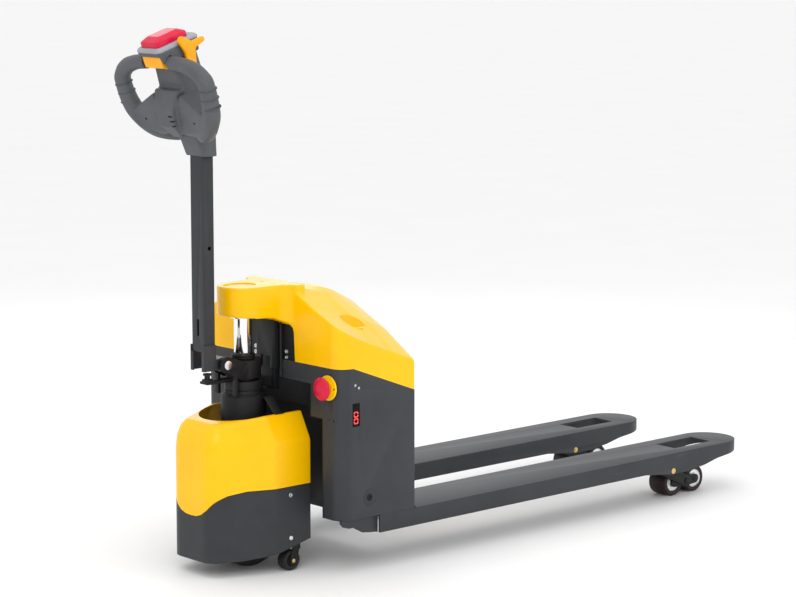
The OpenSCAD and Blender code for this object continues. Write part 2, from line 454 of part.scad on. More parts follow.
// head frame: X away from the operator, Z along the head
hx0 = tube_x - 46.5; hz0 = tube_top + 4;
module head() du() translate([hx0, 0, hz0-2]) rotate([0, -head_tilt, 0]) children();
module spine(z, hx1, hx2, hy, r=10, h=2) translate([0,0,z]) linear_extrude(h) hull() for (x=[hx1+r,hx2-r], s=[-1,1]) translate([x, s*(hy-r)]) circle(r=r, $fn=32);
module tiller_head() color([0.32,0.33,0.35]) difference() {
  union() {
    head() { hull() { spine(28, 16, 78, 42, 12); spine(100, 8, 84, 62, 16); spine(158, 8, 78, 52, 14); }
             hull() { spine(158, 8, 78, 52, 14); spine(222, 2, 84, 38, 10); } }
    hull() { head() spine(28, 16, 78, 42, 12); du() translate([tube_x,0,tube_top-8]) linear_extrude(2) offset(r=6) square([tube_d-6, tube_w+14], center=true); }
  }
  du() translate([tube_x,0,tube_top-40]) linear_extrude(40+e) tube_plan();
  head() for (s=[-1,1]) translate([0, s*40, 96]) rotate([0,90,0]) cylinder(r=3, h=18);
  head() for (i=[0:2]) translate([4,-20-i*0, 70+i*9]) rotate([0,0,0]) translate([0,-6,0]) cube([8,12,2.5]);
}
grip_path = [[40,226],[grip_y-44,218],[grip_y-10,200],[grip_y,168],[grip_y-3,100],[grip_y-34,62],[52,36]];
module grip(s) for (i=[0:len(grip_path)-2]) hull() for (k=[0,1]) { p=grip_path[i+k];
  translate([ (i+k==0)?-6:(i+k>=len(grip_path)-1)?38:-6, s*p[0], p[1]]) sphere(r=grip_r-(i+k==len(grip_path)-1?2:0), $fn=28); }
module tiller_grips() color([0.2,0.2,0.21]) difference() {
  head() { for (s=[-1,1]) grip(s); }
  hull() head() { spine(28, 16, 78, 42, 12); spine(100, 8, 84, 62, 16); spine(158, 8, 78, 52, 14); }
  hull() head() { spine(158, 8, 78, 52, 14); spine(222, 2, 84, 38, 10); }
  hull() { head() spine(28, 16, 78, 42, 12); du() translate([tube_x,0,tube_top-8]) linear_extrude(2) offset(r=6) square([tube_d-6, tube_w+14], center=true); }
  head() hull() { spine(224, -16, 88, 47, 14); spine(262, -30, 92, 45, 14); }
  head() box(-60, 100, -44, 44, 180, 300);
}
module head_pod() color([0.55,0.56,0.58]) head() difference() {
  hull() { spine(224, -16, 88, 47, 14); spine(262, -30, 92, 45, 14); }
  translate([0,0,246]) linear_extrude(30) offset(r=8) translate([-14,-26]) square([78,52]);
  ycyl(6, -60, 60, 50, 240);
  box(-40,8,-26.5,26.5,215,243.5);
}
module belly_button() color([0.8,0.05,0.12]) head() hull() {
  translate([0,0,250]) linear_extrude(24) offset(r=7.6) translate([-13.6,-25.6]) square([77.2,51.2]);
  translate([0,0,284]) linear_extrude(2) offset(r=9) translate([-2,-19]) square([52,38]);
}
module throttle() color([1,0.65,0.05]) head() union() {
  ycyl(5.9, -53, 53, 50, 240);
  for (s=[-1,1]) xz(s*53-5.5, s*53+5.5) union() {
    hull() { translate([50,240]) circle(r=16,$fn=40); translate([37,262]) circle(r=8,$fn=32); }
    hull() { translate([50,240]) circle(r=15,$fn=40); translate([46,196]) circle(r=11,$fn=32); }
    hull() { translate([56,244]) circle(r=9,$fn=32); translate([90,246]) circle(r=6,$fn=32); }
  }
}
module lift_switch() color([1,0.7,0.05]) head() hull() {
  box(-6, 4.5, -26.1, 26.1, 225, 243);
  box(-16, -8, -24, 24, 229, 243);
}

guide_yoke();
lift_cylinder();
neck_drum();
tiller_bracket();
tiller_pivot_pin();
tiller_bumper();
drive_frame();
traction_motor();
pump_motor();
stabiliser_frame();
stabiliser_axles();
cover_lower();
cover_upper();
cover_screws();
cover_straps();
drive_tyre();
drive_hub();
stabiliser_wheel_left();
stabiliser_wheel_right();
fork_left();
fork_right();
box_shell();
recess_liner();
floor_frame();
mast_plate();
mast_bolts();
guide_column();
bridge_beam();
lift_rod();
hood();
battery_pack();
estop_button();
estop_ring();
display_window();
display_digits();
indicator_lamps();
pivot_caps();
arm_pins();
conduit();
bell_crank_left();
bell_crank_right();
push_rod_left();
push_rod_right();
load_arm_left();
load_arm_right();
bogie_left();
bogie_right();
roller_fl();
roller_rl();
roller_fr();
roller_rr();
tiller_foot();
tiller_tube();
tiller_spring();
tiller_head();
tiller_grips();
head_pod();
belly_button();
throttle();
lift_switch();
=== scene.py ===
"""Electric pallet truck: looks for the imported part, laid out as an add-on."""
import json
import math
import bmesh
import bpy
from bpy.props import FloatProperty, FloatVectorProperty, IntProperty, PointerProperty
from mathutils import Matrix, Vector

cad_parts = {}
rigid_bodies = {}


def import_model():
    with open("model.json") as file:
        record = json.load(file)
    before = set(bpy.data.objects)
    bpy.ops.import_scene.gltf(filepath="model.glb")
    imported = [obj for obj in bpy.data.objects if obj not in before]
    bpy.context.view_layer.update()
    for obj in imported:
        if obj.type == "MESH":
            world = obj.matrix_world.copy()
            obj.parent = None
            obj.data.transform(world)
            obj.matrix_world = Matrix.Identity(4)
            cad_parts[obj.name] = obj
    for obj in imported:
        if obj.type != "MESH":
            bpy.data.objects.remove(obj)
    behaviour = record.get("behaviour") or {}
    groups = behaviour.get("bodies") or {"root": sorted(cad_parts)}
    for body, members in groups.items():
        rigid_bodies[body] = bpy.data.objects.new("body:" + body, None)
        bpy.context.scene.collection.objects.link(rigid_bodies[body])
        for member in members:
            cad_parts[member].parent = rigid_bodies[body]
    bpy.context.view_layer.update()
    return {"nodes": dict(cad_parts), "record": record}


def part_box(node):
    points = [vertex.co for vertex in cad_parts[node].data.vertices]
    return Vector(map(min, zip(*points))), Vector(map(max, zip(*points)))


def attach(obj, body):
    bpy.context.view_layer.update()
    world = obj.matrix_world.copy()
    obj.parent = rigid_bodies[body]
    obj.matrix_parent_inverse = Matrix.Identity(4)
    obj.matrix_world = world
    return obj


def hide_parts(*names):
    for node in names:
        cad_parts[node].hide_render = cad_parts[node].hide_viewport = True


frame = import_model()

bl_info = {
    "name": "Electric pallet truck",
    "version": (1, 0, 0),
    "blender": (4, 5, 0),
    "location": "View3D > Sidebar > Pallet truck",
    "description": "Builds the covers, controls, wheels and finishes of an electric pallet truck",
    "category": "Object",
}

# ---------------------------------------------------------------- places
# Places are millimetres from the fork heel (X), the centre line (Y) and the fork top (Z).
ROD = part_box("lift_rod")
STEER_X = -331.5
AXIS_X = (ROD[0].x + ROD[1].x) / 2
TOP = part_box("fork_left")[1].z
HALF_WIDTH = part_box("box_shell")[1].y * 1000
BOX_FRONT = (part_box("box_shell")[0].x - AXIS_X) * 1000 + STEER_X
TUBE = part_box("tiller_tube")
HEAD_X = (TUBE[0].x + TUBE[1].x) / 2 - 0.0465
HEAD_Z = TUBE[1].z + 0.002
TILT = math.radians(18)
CRANK_X, CRANK_Z = -157, 48          # axis of the bell cranks
DRIVE_FRONT = -117.5                 # centres of the cover's front corners, off the steering axis
LEVER_X, LEVER_Z = 50, 240           # axis of the speed lever on the tiller head
POD_FLOOR, POD_SEAM = 224.4, 254     # underside of the control pod and the seam of its shell


def place(x, y, z):
    """A point in metres, from millimetres off the heel, centre line and fork top."""
    return Vector((AXIS_X + (x - STEER_X) / 1000, y / 1000, TOP + z / 1000))


def head(x, y, z):
    """A point of the tiller head in metres, X away from the operator and Z along the head."""
    return Vector((HEAD_X + (x * math.cos(TILT) - z * math.sin(TILT)) / 1000, y / 1000,
                   HEAD_Z + (x * math.sin(TILT) + z * math.cos(TILT)) / 1000))


def from_side(u, v, w):
    return place(u, w, v)


def from_front(u, v, w):
    return place(w, u, v)


def head_side(u, v, w):
    return head(u, w, v)


def head_front(u, v, w):
    return head(w, u, v)


# ---------------------------------------------------------------- materials
class Sock:
    """An output socket that can be used in an expression."""

    def __init__(self, finish, out):
        self.finish, self.out = finish, out

    def math(self, operation, *others):
        return self.finish.node("ShaderNodeMath", {"operation": operation}, [self, *others])

    def __add__(self, b):
        return self.math("ADD", b)

    __radd__ = __add__

    def __sub__(self, b):
        return self.math("SUBTRACT", b)

    def __mul__(self, b):
        return self.math("MULTIPLY", b)

    __rmul__ = __mul__

    def step(self, low, high):
        return self.finish.node("ShaderNodeMapRange", {"interpolation_type": "SMOOTHSTEP"},
                                {0: self, 1: low, 2: high, 3: 0.0, 4: 1.0})


class Finish:
    """One material and its nodes."""

    def __init__(self, name):
        self.material = bpy.data.materials.new(name)
        self.material.use_nodes = True
        self.tree = self.material.node_tree
        self.tree.nodes.clear()
        self.out = self.tree.nodes.new("ShaderNodeOutputMaterial")
        self.shader = self.tree.nodes.new("ShaderNodeBsdfPrincipled")
        self.tree.links.new(self.shader.outputs[0], self.out.inputs[0])

    def node(self, kind, settings=None, inputs=None, output=0):
        n = self.tree.nodes.new(kind)
        for key, value in (settings or {}).items():
            setattr(n, key, value)
        pairs = inputs.items() if isinstance(inputs, dict) else enumerate(inputs or [])
        for key, value in pairs:
            self.feed(n.inputs[key], value)
        return Sock(self, n.outputs[output])

    def feed(self, socket, value):
        if isinstance(value, Sock):
            self.tree.links.new(value.out, socket)
        elif isinstance(value, (tuple, list)) and len(value) == 3 and socket.type == "RGBA":
            socket.default_value = (*value, 1)
        else:
            socket.default_value = value

    def set(self, **values):
        for key, value in values.items():
            self.feed(self.shader.inputs[key.replace("_", " ").title().replace("Ior", "IOR")], value)
        return self

    def place(self, scale=(1, 1, 1)):
        at = self.node("ShaderNodeTexCoord", output=3)
        return self.node("ShaderNodeMapping", inputs={"Vector": at, "Scale": scale})

    def noise(self, scale, detail=3.0, roughness=0.55, stretch=(1, 1, 1)):
        return self.node("ShaderNodeTexNoise", inputs={"Vector": self.place(stretch), "Scale": scale,
                                                       "Detail": detail, "Roughness": roughness})

    def cells(self, scale):
        return self.node("ShaderNodeTexVoronoi", inputs={"Vector": self.place(), "Scale": scale})

    def mix(self, amount, a, b):
        return self.node("ShaderNodeMix", {"data_type": "RGBA"}, {0: amount, 6: a, 7: b}, 2)

    def bump(self, height, strength, distance=0.001):
        return self.node("ShaderNodeBump",
                inputs={"Strength": strength, "Distance": distance, "Height": height})


def shade(colour, k):
    return tuple(min(1.0, c * k) for c in colour)


def coated_steel(name, colour, gloss=0.42, scuffs=0.5, along=(2.0, 60.0, 60.0)):
    """Powder-coated sheet: fine orange peel, patchy tone, faint scuffs along the length."""
    f = Finish(name)
    patch = f.noise(5.0, 4.0)
    peel = f.noise(520.0, 2.0)
    grain = f.noise(1900.0, 1.0)
    streak = f.noise(3.0, 6.0, 0.7, along).step(0.60, 0.72) * f.noise(7.0, 2.0).step(0.5, 0.65) * scuffs
    tone = f.mix(patch.step(0.3, 0.7), shade(colour, 0.86), shade(colour, 1.14))
    tone = f.mix(grain.step(0.62, 0.7) * 0.35, tone, shade(colour, 1.7))
    f.set(base_color=f.mix(streak, tone, shade(colour, 2.0)),
            roughness=gloss + patch * 0.10 + streak * 0.18,
          specular_ior_level=0.28, normal=f.bump(peel * 0.7 + grain * 0.3, 0.28, 0.0004))
    return f.material


def gloss_plastic(name, colour, deep, gloss=0.22, peel_size=260.0, coat=0.12, shine=0.22):
    """Moulded gloss plastic: deep colour, slight waviness, dulled handling marks."""
    f = Finish(name)
    wave = f.noise(peel_size, 2.0)
    haze = f.noise(9.0, 5.0, 0.6)
    marks = f.noise(38.0, 6.0, 0.75).step(0.60, 0.74)
    f.set(base_color=f.mix(haze.step(0.35, 0.75) * 0.55, colour, deep),
            roughness=gloss + haze * 0.08 + marks * 0.14,
          coat_weight=coat, coat_roughness=0.12, specular_ior_level=shine,
          normal=f.bump(wave, 0.05, 0.0006))
    return f.material


def grained_plastic(name, colour, gloss=0.5, grain=900.0, depth=0.30):
    """Spark-eroded moulded plastic with a leathery micro grain."""
    f = Finish(name)
    cell = f.cells(grain)
    fine = f.noise(grain * 1.9, 2.0)
    patch = f.noise(12.0, 4.0)
    rub = f.noise(26.0, 5.0, 0.7).step(0.58, 0.75)
    tone = f.mix(patch.step(0.3, 0.7), shade(colour, 0.88), shade(colour, 1.12))
    f.set(base_color=f.mix(fine.step(0.5, 0.8) * 0.3, tone, shade(colour, 1.35)),
            roughness=gloss + patch * 0.12 - rub * 0.12,
          specular_ior_level=0.3, normal=f.bump(cell * 0.7 + fine * 0.3, depth, 0.0005))
    return f.material


def cast_metal(name, colour, gloss=0.5, metal=0.0, grain=420.0, depth=0.4):
    """Painted or bare casting with a sandy skin."""
    f = Finish(name)
    sand = f.noise(grain, 4.0, 0.7)
    patch = f.noise(16.0, 4.0)
    tone = f.mix(patch.step(0.3, 0.7), shade(colour, 0.8), shade(colour, 1.25))
    f.set(base_color=tone, metallic=metal, roughness=gloss + sand * 0.16, specular_ior_level=0.25,
          normal=f.bump(sand, depth, 0.0006))
    return f.material


def machined_steel(name, colour, gloss=0.22, lines=(40.0, 40.0, 2600.0), depth=0.10):
    """Turned or ground metal with fine tool lines and a few dull spots."""
    f = Finish(name)
    line = f.noise(1.0, 3.0, 0.6, lines)
    spot = f.noise(45.0, 5.0, 0.7).step(0.55, 0.72)
    tone = f.mix(spot * 0.5, colour, shade(colour, 0.72))
    f.set(base_color=tone, metallic=1.0, roughness=gloss + line * 0.07 + spot * 0.10,
            normal=f.bump(line, depth, 0.0003))
    return f.material


def rubber(name, colour, gloss=0.62, worn=0.4):
    """Rubber or polyurethane: matte, dusty where it rubs."""
    f = Finish(name)
    pore = f.noise(1300.0, 3.0)
    dust = f.noise(30.0, 6.0, 0.7).step(0.48, 0.72) * worn
    f.set(base_color=f.mix(dust, colour, tuple(c * 1.6 + 0.02 for c in colour)),
            roughness=gloss + dust * 0.2 + pore * 0.06, specular_ior_level=0.3,
          normal=f.bump(pore, 0.35, 0.0004))
    return f.material


def lit_red(name):
    f = Finish(name)
    glow = f.noise(700.0, 2.0)
    f.set(base_color=(0.8, 0.02, 0.03), roughness=0.3 + glow * 0.1,
          emission_color=f.mix(glow, (1.0, 0.02, 0.03), (1.0, 0.12, 0.10)))
    f.shader.inputs["Emission Strength"].default_value = 1.6
    return f.material


def studio_floor(name):
    f = Finish(name)
    mottle = f.noise(2.5, 4.0)
    f.set(base_color=f.mix(mottle, (0.90, 0.90, 0.90), (0.94, 0.94, 0.94)), roughness=0.72 + mottle * 0.06)
    return f.material


class TruckFinish(bpy.types.PropertyGroup):
    """Colours that a user may change."""
    cover: FloatVectorProperty(name="Cover colour",
            description="Gloss plastic of the hood and drive cover", subtype="COLOR",
            default=(1.0, 0.54, 0.0))
    # The frame colour is the steel's dark charcoal, set darker still as painted shade: the box front faces
    # away from the light and should read near black.
    frame: FloatVectorProperty(name="Frame colour",
            description="Coated steel of the forks and the battery box", subtype="COLOR",
            default=(0.036, 0.039, 0.044))
    head: FloatVectorProperty(name="Head colour", description="Grained plastic of the tiller head",
            subtype="COLOR", default=(0.085, 0.090, 0.098))
    red: FloatVectorProperty(name="Red", description="Safety button and emergency stop", subtype="COLOR",
            default=(0.66, 0.008, 0.05))
    lever: FloatVectorProperty(name="Lever colour", description="Speed lever and lift button",
            subtype="COLOR", default=(1.0, 0.40, 0.0))


class TruckSizes(bpy.types.PropertyGroup):
    """Sizes that a user may change."""
    sheet: FloatProperty(name="Cover wall", description="Wall of the moulded covers", default=0.003,
            unit="LENGTH")
    voxel: FloatProperty(name="Moulding detail", description="Grid that the moulded covers are joined on",
            default=0.0034, unit="LENGTH")
    pocket_length: FloatProperty(name="Finger pocket length",
            description="Length of the pocket in the hood", default=0.074, unit="LENGTH")
    pocket_width: FloatProperty(name="Finger pocket width", description="Width of the pocket in the hood",
            default=0.050, unit="LENGTH")
    ribs: IntProperty(name="Grip ribs", description="Raised ribs on each grip", default=3)
    rib_gap: FloatProperty(name="Rib spacing", description="Distance between grip ribs", default=0.022,
            unit="LENGTH")
    bead: FloatProperty(name="Weld ripple", description="Length of one ripple of the weld beads",
            default=0.0042, unit="LENGTH")


def look():
    return bpy.context.scene.truck_finish


def sizes():
    return bpy.context.scene.truck_sizes


_made = {}


def finish(name):
    """A material by its name, made once."""
    if name in _made:
        return _made[name]
    c = look()
    table = {
        "cover_yellow": lambda n: gloss_plastic(n, tuple(c.cover), shade(tuple(c.cover), 0.86)),
        "ring_yellow": lambda n: gloss_plastic(n, (1.0, 0.66, 0.0), (0.95, 0.5, 0.0), 0.3),
        # The frame and fork finishes take the frame colour: the steel's own charcoal plus the painted shade
        # set into it.
        "frame_charcoal_and_shade": lambda n: coated_steel(n, tuple(c.frame)),
        "frame_dark": lambda n: coated_steel(n, (0.009, 0.010, 0.011), 0.46, 0.3),
        "fork_charcoal_and_shade": lambda n: coated_steel(n, shade(tuple(c.frame), 0.95), 0.40, 0.8,
        (1.2, 70.0, 30.0)),
        "skirt_charcoal": lambda n: grained_plastic(n, (0.030, 0.032, 0.036), 0.42, 700.0, 0.16),
        "tube_charcoal": lambda n: coated_steel(n, (0.030, 0.032, 0.036), 0.38, 0.4, (60.0, 60.0, 2.0)),
        "casting_black": lambda n: cast_metal(n, (0.008, 0.008, 0.009), 0.42),
        "motor_casting": lambda n: cast_metal(n, (0.22, 0.23, 0.24), 0.45, 0.6),
        "hub_casting": lambda n: cast_metal(n, (0.42, 0.43, 0.45), 0.35, 0.9, 700.0, 0.25),
        "chrome": lambda n: machined_steel(n, (0.88, 0.89, 0.90), 0.05, (40.0, 40.0, 4200.0), 0.04),
        "bright_steel": lambda n: machined_steel(n, (0.74, 0.74, 0.76), 0.24),
        "oiled_steel": lambda n: machined_steel(n, (0.30, 0.31, 0.33), 0.36, (600.0, 600.0, 600.0), 0.2),
        "axle_brass": lambda n: machined_steel(n, (0.72, 0.50, 0.20), 0.28),
        "black_rubber": lambda n: rubber(n, (0.016, 0.016, 0.017)),
        "tyre_rubber": lambda n: rubber(n, (0.022, 0.022, 0.023), 0.6, 0.5),
        "roller_urethane": lambda n: rubber(n, (0.022, 0.009, 0.010), 0.42, 0.35),
        "head_plastic": lambda n: grained_plastic(n, tuple(c.head), 0.46),
        "grip_plastic": lambda n: grained_plastic(n, shade(tuple(c.head), 0.80), 0.50, 1100.0, 0.36),
        "pod_light": lambda n: grained_plastic(n, (0.30, 0.31, 0.34), 0.38, 1200.0, 0.12),
        "red_gloss": lambda n: gloss_plastic(n, tuple(c.red), (0.50, 0.004, 0.03), 0.24, 320.0, 0.15),
        "lever_yellow": lambda n: gloss_plastic(n, tuple(c.lever), (0.95, 0.33, 0.0), 0.30, 300.0, 0.1),
        "display_black": lambda n: gloss_plastic(n, (0.006, 0.006, 0.007), (0.008, 0.006, 0.006), 0.2,
        200.0, 0.0, 0.08),
        "digit_red": lit_red,
        "lamp_clear": lambda n: gloss_plastic(n, (0.45, 0.47, 0.50), (0.35, 0.36, 0.38), 0.12, 300.0, 0.6),
        "battery_case": lambda n: grained_plastic(n, (0.03, 0.032, 0.04), 0.55, 500.0, 0.2),
        "floor_pale": studio_floor,
    }
    _made[name] = table[name](name)
    return _made[name]


# ---------------------------------------------------------------- mesh helpers
def mesh_of(bm, name="shape"):
    me = bpy.data.meshes.new(name)
    bmesh.ops.recalc_face_normals(bm, faces=bm.faces)
    bm.to_mesh(me)
    bm.free()
    return me


def hull(points):
    bm = bmesh.new()
    for p in points:
        bm.verts.new(p)
    out = bmesh.ops.convex_hull(bm, input=bm.verts)
    loose = list({g for g in out["geom_interior"]
            + out["geom_unused"] if isinstance(g, bmesh.types.BMVert)})
    bmesh.ops.delete(bm, geom=loose, context="VERTS")
    return mesh_of(bm)


def prism(outline, low, high, put):
    """A closed prism: put(u, v, w) places outline points (u, v) at w from low to high."""
    bm = bmesh.new()
    a = [bm.verts.new(put(u, v, low)) for u, v in outline]
    b = [bm.verts.new(put(u, v, high)) for u, v in outline]
    bm.faces.new(a)
    bm.faces.new(list(reversed(b)))
    for i in range(len(a)):
        j = (i + 1) % len(a)
        bm.faces.new((a[i], b[i], b[j], a[j]))
    bmesh.ops.triangulate(bm, faces=[f for f in bm.faces if len(f.verts) > 4])
    return mesh_of(bm)


def lathe(profile, centre, axis="Y", steps=48):
    """A turned solid from (radius, along) points in millimetres, closed at the axis."""
    bm = bmesh.new()
    rings = []
    for r, w in profile:
        if r <= 1e-6:
            rings.append([bm.verts.new((0, 0, w))])
        else:
            rings.append([bm.verts.new((r * math.cos(2 * math.pi * i / steps),
                    r * math.sin(2 * math.pi * i / steps), w)) for i in range(steps)])
    pairs = list(zip(rings, rings[1:]))
    if len(rings[0]) > 1 and len(rings[-1]) > 1:
        pairs.append((rings[-1], rings[0]))
    for a, b in pairs:
        for i in range(steps):
            j = (i + 1) % steps
            quad = [a[i % len(a)], a[j % len(a)], b[j % len(b)], b[i % len(b)]]
            quad = [v for k, v in enumerate(quad) if v not in quad[:k]]
            if len(quad) > 2:
                bm.faces.new(quad)
    turn = {"X": Matrix.Rotation(math.pi / 2, 4, "Y"), "Y": Matrix.Rotation(-math.pi / 2, 4, "X"),
            "Z": Matrix.Identity(4)}[axis]
    bm.transform(Matrix.Translation(centre) @ Matrix.Scale(0.001, 4) @ turn)
    return mesh_of(bm)


def rect(x0, y0, x1, y1):
    return [(x0, y0), (x1, y0), (x1, y1), (x0, y1)]


def arc(cx, cy, rx, ry, start, sweep, steps):
    """Points along part of an ellipse."""
    return [(cx + rx * math.cos(a), cy + ry * math.sin(a))
            for a in [start + sweep * i / steps for i in range(steps + 1)]]


def circle(r, n=32, cx=0.0, cy=0.0, start=0.0):
    return [(cx + r * math.cos(start + 2 * math.pi * i / n),
            cy + r * math.sin(start + 2 * math.pi * i / n)) for i in range(n)]


def joined(meshes):
    bm = bmesh.new()
    for me in meshes:
        bm.from_mesh(me)
    return mesh_of(bm)


def scratch(mesh, name="scratch"):
    ob = bpy.data.objects.new(name, mesh)
    bpy.context.scene.collection.objects.link(ob)
    return ob


def applied(ob):
    """The object's mesh with its modifiers applied. The scratch object is removed."""
    bpy.context.view_layer.update()
    me = bpy.data.meshes.new_from_object(ob.evaluated_get(bpy.context.evaluated_depsgraph_get()))
    bpy.data.objects.remove(ob)
    return me


def moulded(meshes, voxel, rounds, factor=0.5):
    """Overlapping closed solids grown into one body with soft edges."""
    ob = scratch(joined(meshes))
    m = ob.modifiers.new("join", "REMESH")
    m.mode, m.voxel_size, m.adaptivity = "VOXEL", voxel, 0.0
    s = ob.modifiers.new("soften", "SMOOTH")
    s.factor, s.iterations = factor, rounds
    return applied(ob)


def cut(base, other, operation="DIFFERENCE"):
    a, b = scratch(base), scratch(other)
    m = a.modifiers.new("cut", "BOOLEAN")
    m.operation, m.solver, m.object = operation, "MANIFOLD", b
    me = applied(a)
    bpy.data.objects.remove(b)
    if not len(me.polygons):
        raise RuntimeError("a cut left nothing")
    return me


def shrunk(mesh, by):
    """The same closed mesh moved in along its normals."""
    me = mesh.copy()
    bm = bmesh.new()
    bm.from_mesh(me)
    bm.normal_update()
    for v, n in [(v, v.normal.copy()) for v in bm.verts]:
        v.co -= n * by
    bm.to_mesh(me)
    bm.free()
    return me


def shaded(mesh, angle=35.0):
    for p in mesh.polygons:
        p.use_smooth = True
    bm = bmesh.new()
    bm.from_mesh(mesh)
    limit = math.radians(angle)
    for e in bm.edges:
        e.smooth = not (len(e.link_faces) == 2 and e.calc_face_angle(0) > limit)
    bm.to_mesh(mesh)
    bm.free()
    return mesh


def round_edges(ob, width, angle):
    """A bevel on the edges that turn by more than the angle, in degrees."""
    b = ob.modifiers.new("ease", "BEVEL")
    b.width = width
    b.segments = 2
    b.limit_method = "ANGLE"
    b.angle_limit = math.radians(angle)
    b.use_clamp_overlap = True


def piece(name, mesh, body, finish_name, nodes=(), angle=35.0, bevel=0.0):
    """Adds a finished mesh as a piece that rides on a body."""
    shaded(mesh, angle)
    mesh.materials.clear()
    mesh.materials.append(finish(finish_name))
    ob = scratch(mesh, name)
    if bevel:
        round_edges(ob, bevel, 40)
        ob = scratch(shaded(applied(ob), 50), name)
    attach(ob, body)
    if nodes:
        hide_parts(*nodes)
    return ob


NODE_BODY = {n: b for b, ns in frame["record"]["behaviour"]["bodies"].items() for n in ns}


def welded(node):
    """A copy of a CAD node's mesh with shared corners and flat faces joined."""
    bm = bmesh.new()
    bm.from_mesh(frame["nodes"][node].data)
    bmesh.ops.remove_doubles(bm, verts=bm.verts, dist=2e-6)
    bmesh.ops.dissolve_limit(bm, angle_limit=math.radians(0.6), verts=bm.verts, edges=bm.edges)
    me = bpy.data.meshes.new(node)
    bm.to_mesh(me)
    bm.free()
    return me


def eased(node, finish_name, width):
    """A copy of a CAD node with its sharp edges rounded, standing for the node."""
    ob = scratch(welded(node), node + ".eased")
    round_edges(ob, width, 38)
    return piece(node + ".eased", applied(ob), NODE_BODY[node], finish_name, (node,), 40.0)


# ---------------------------------------------------------------- geometry nodes
class Graph:
    """A geometry node group built in one go."""

    def __init__(self, name, inputs):
        self.tree = bpy.data.node_groups.new(name, "GeometryNodeTree")
        self.ids = {}
        self.tree.interface.new_socket("Geometry", in_out="INPUT", socket_type="NodeSocketGeometry")
        for label, kind, default in inputs:
            s = self.tree.interface.new_socket(label, in_out="INPUT", socket_type=kind)
            if default is not None:
                s.default_value = default
            self.ids[label] = s.identifier
        self.tree.interface.new_socket("Geometry", in_out="OUTPUT", socket_type="NodeSocketGeometry")
        self.start = self.tree.nodes.new("NodeGroupInput")

    def add(self, kind, settings=None, inputs=None):
        n = self.tree.nodes.new(kind)
        for key, value in (settings or {}).items():
            setattr(n, key, value)
        for key, value in (inputs or {}).items():
            if isinstance(value, bpy.types.NodeSocket):
                self.tree.links.new(value, n.inputs[key])
            else:
                n.inputs[key].default_value = value
        return n

    def end(self, socket):
        real = self.add("GeometryNodeRealizeInstances", inputs={0: socket})
        coat = self.add("GeometryNodeSetMaterial",
                inputs={0: real.outputs[0], "Material": self.start.outputs["Finish"]})
        done = self.tree.nodes.new("NodeGroupOutput")
        self.tree.links.new(coat.outputs[0], done.inputs[0])
        return self


def grown(mesh, graph, **values):
    """Runs a node group on a mesh and gives the plain result."""
    ob = scratch(mesh)
    m = ob.modifiers.new("grow", "NODES")
    m.node_group = graph.tree
    for label, value in values.items():
        m[graph.ids[label.replace("_", " ")]] = value
    ob.update_tag()
    return applied(ob)


def bolt_graph():
    """Socket-head bolts: a rounded head with a round recess on each point, along its facing."""
    g = Graph("Bolt heads",
            [("Radius", "NodeSocketFloat", 0.005), ("Height", "NodeSocketFloat", 0.003),
            ("Finish", "NodeSocketMaterial", None)])
    radius, height = g.start.outputs["Radius"], g.start.outputs["Height"]
    body = g.add("GeometryNodeMeshCylinder", inputs={"Vertices": 24, "Radius": radius, "Depth": height})
    top = g.add("GeometryNodeExtrudeMesh",
            inputs={"Mesh": body.outputs["Mesh"], "Selection": body.outputs["Top"], "Offset Scale": 0.0006})
    small = g.add("GeometryNodeScaleElements",
            inputs={"Geometry": top.outputs["Mesh"], "Selection": top.outputs["Top"], "Scale": 0.86})
    rim = g.add("GeometryNodeExtrudeMesh",
            inputs={"Mesh": small.outputs[0], "Selection": top.outputs["Top"], "Offset Scale": 0.0})
    ring = g.add("GeometryNodeScaleElements",
            inputs={"Geometry": rim.outputs["Mesh"], "Selection": rim.outputs["Top"], "Scale": 0.62})
    well = g.add("GeometryNodeExtrudeMesh",
            inputs={"Mesh": ring.outputs[0], "Selection": rim.outputs["Top"], "Offset Scale": -0.0014})
    facing = g.add("GeometryNodeInputNamedAttribute", {"data_type": "FLOAT_VECTOR"}, {"Name": "facing"})
    turn = g.add("FunctionNodeAlignRotationToVector", {"axis": "Z"}, {"Vector": facing.outputs[0]})
    put = g.add("GeometryNodeInstanceOnPoints",
            inputs={"Points": g.start.outputs["Geometry"], "Instance": well.outputs["Mesh"],
            "Rotation": turn.outputs[0]})
    return g.end(put.outputs[0])


def bead_graph():
    """A weld bead: overlapping ripples along a line."""
    g = Graph("Weld bead",
            [("Ripple", "NodeSocketFloat", 0.004), ("Size", "NodeSocketFloat", 0.003),
            ("Seed", "NodeSocketInt", 3), ("Finish", "NodeSocketMaterial", None)])
    line = g.add("GeometryNodeMeshToCurve", inputs={0: g.start.outputs["Geometry"]})
    points = g.add("GeometryNodeCurveToPoints", {"mode": "LENGTH"},
            {"Curve": line.outputs[0], "Length": g.start.outputs["Ripple"]})
    drop = g.add("GeometryNodeMeshIcoSphere", inputs={"Radius": g.start.outputs["Size"], "Subdivisions": 2})
    wobble = g.add("FunctionNodeRandomValue", {"data_type": "FLOAT"},
            {"Min": 0.86, "Max": 1.1, "Seed": g.start.outputs["Seed"]})
    random = [s for s in wobble.outputs if s.enabled][0]
    put = g.add("GeometryNodeInstanceOnPoints",
            inputs={"Points": points.outputs["Points"], "Instance": drop.outputs["Mesh"],
                                                        "Rotation": points.outputs["Rotation"],
                                                        "Scale": random})
    return g.end(put.outputs[0])


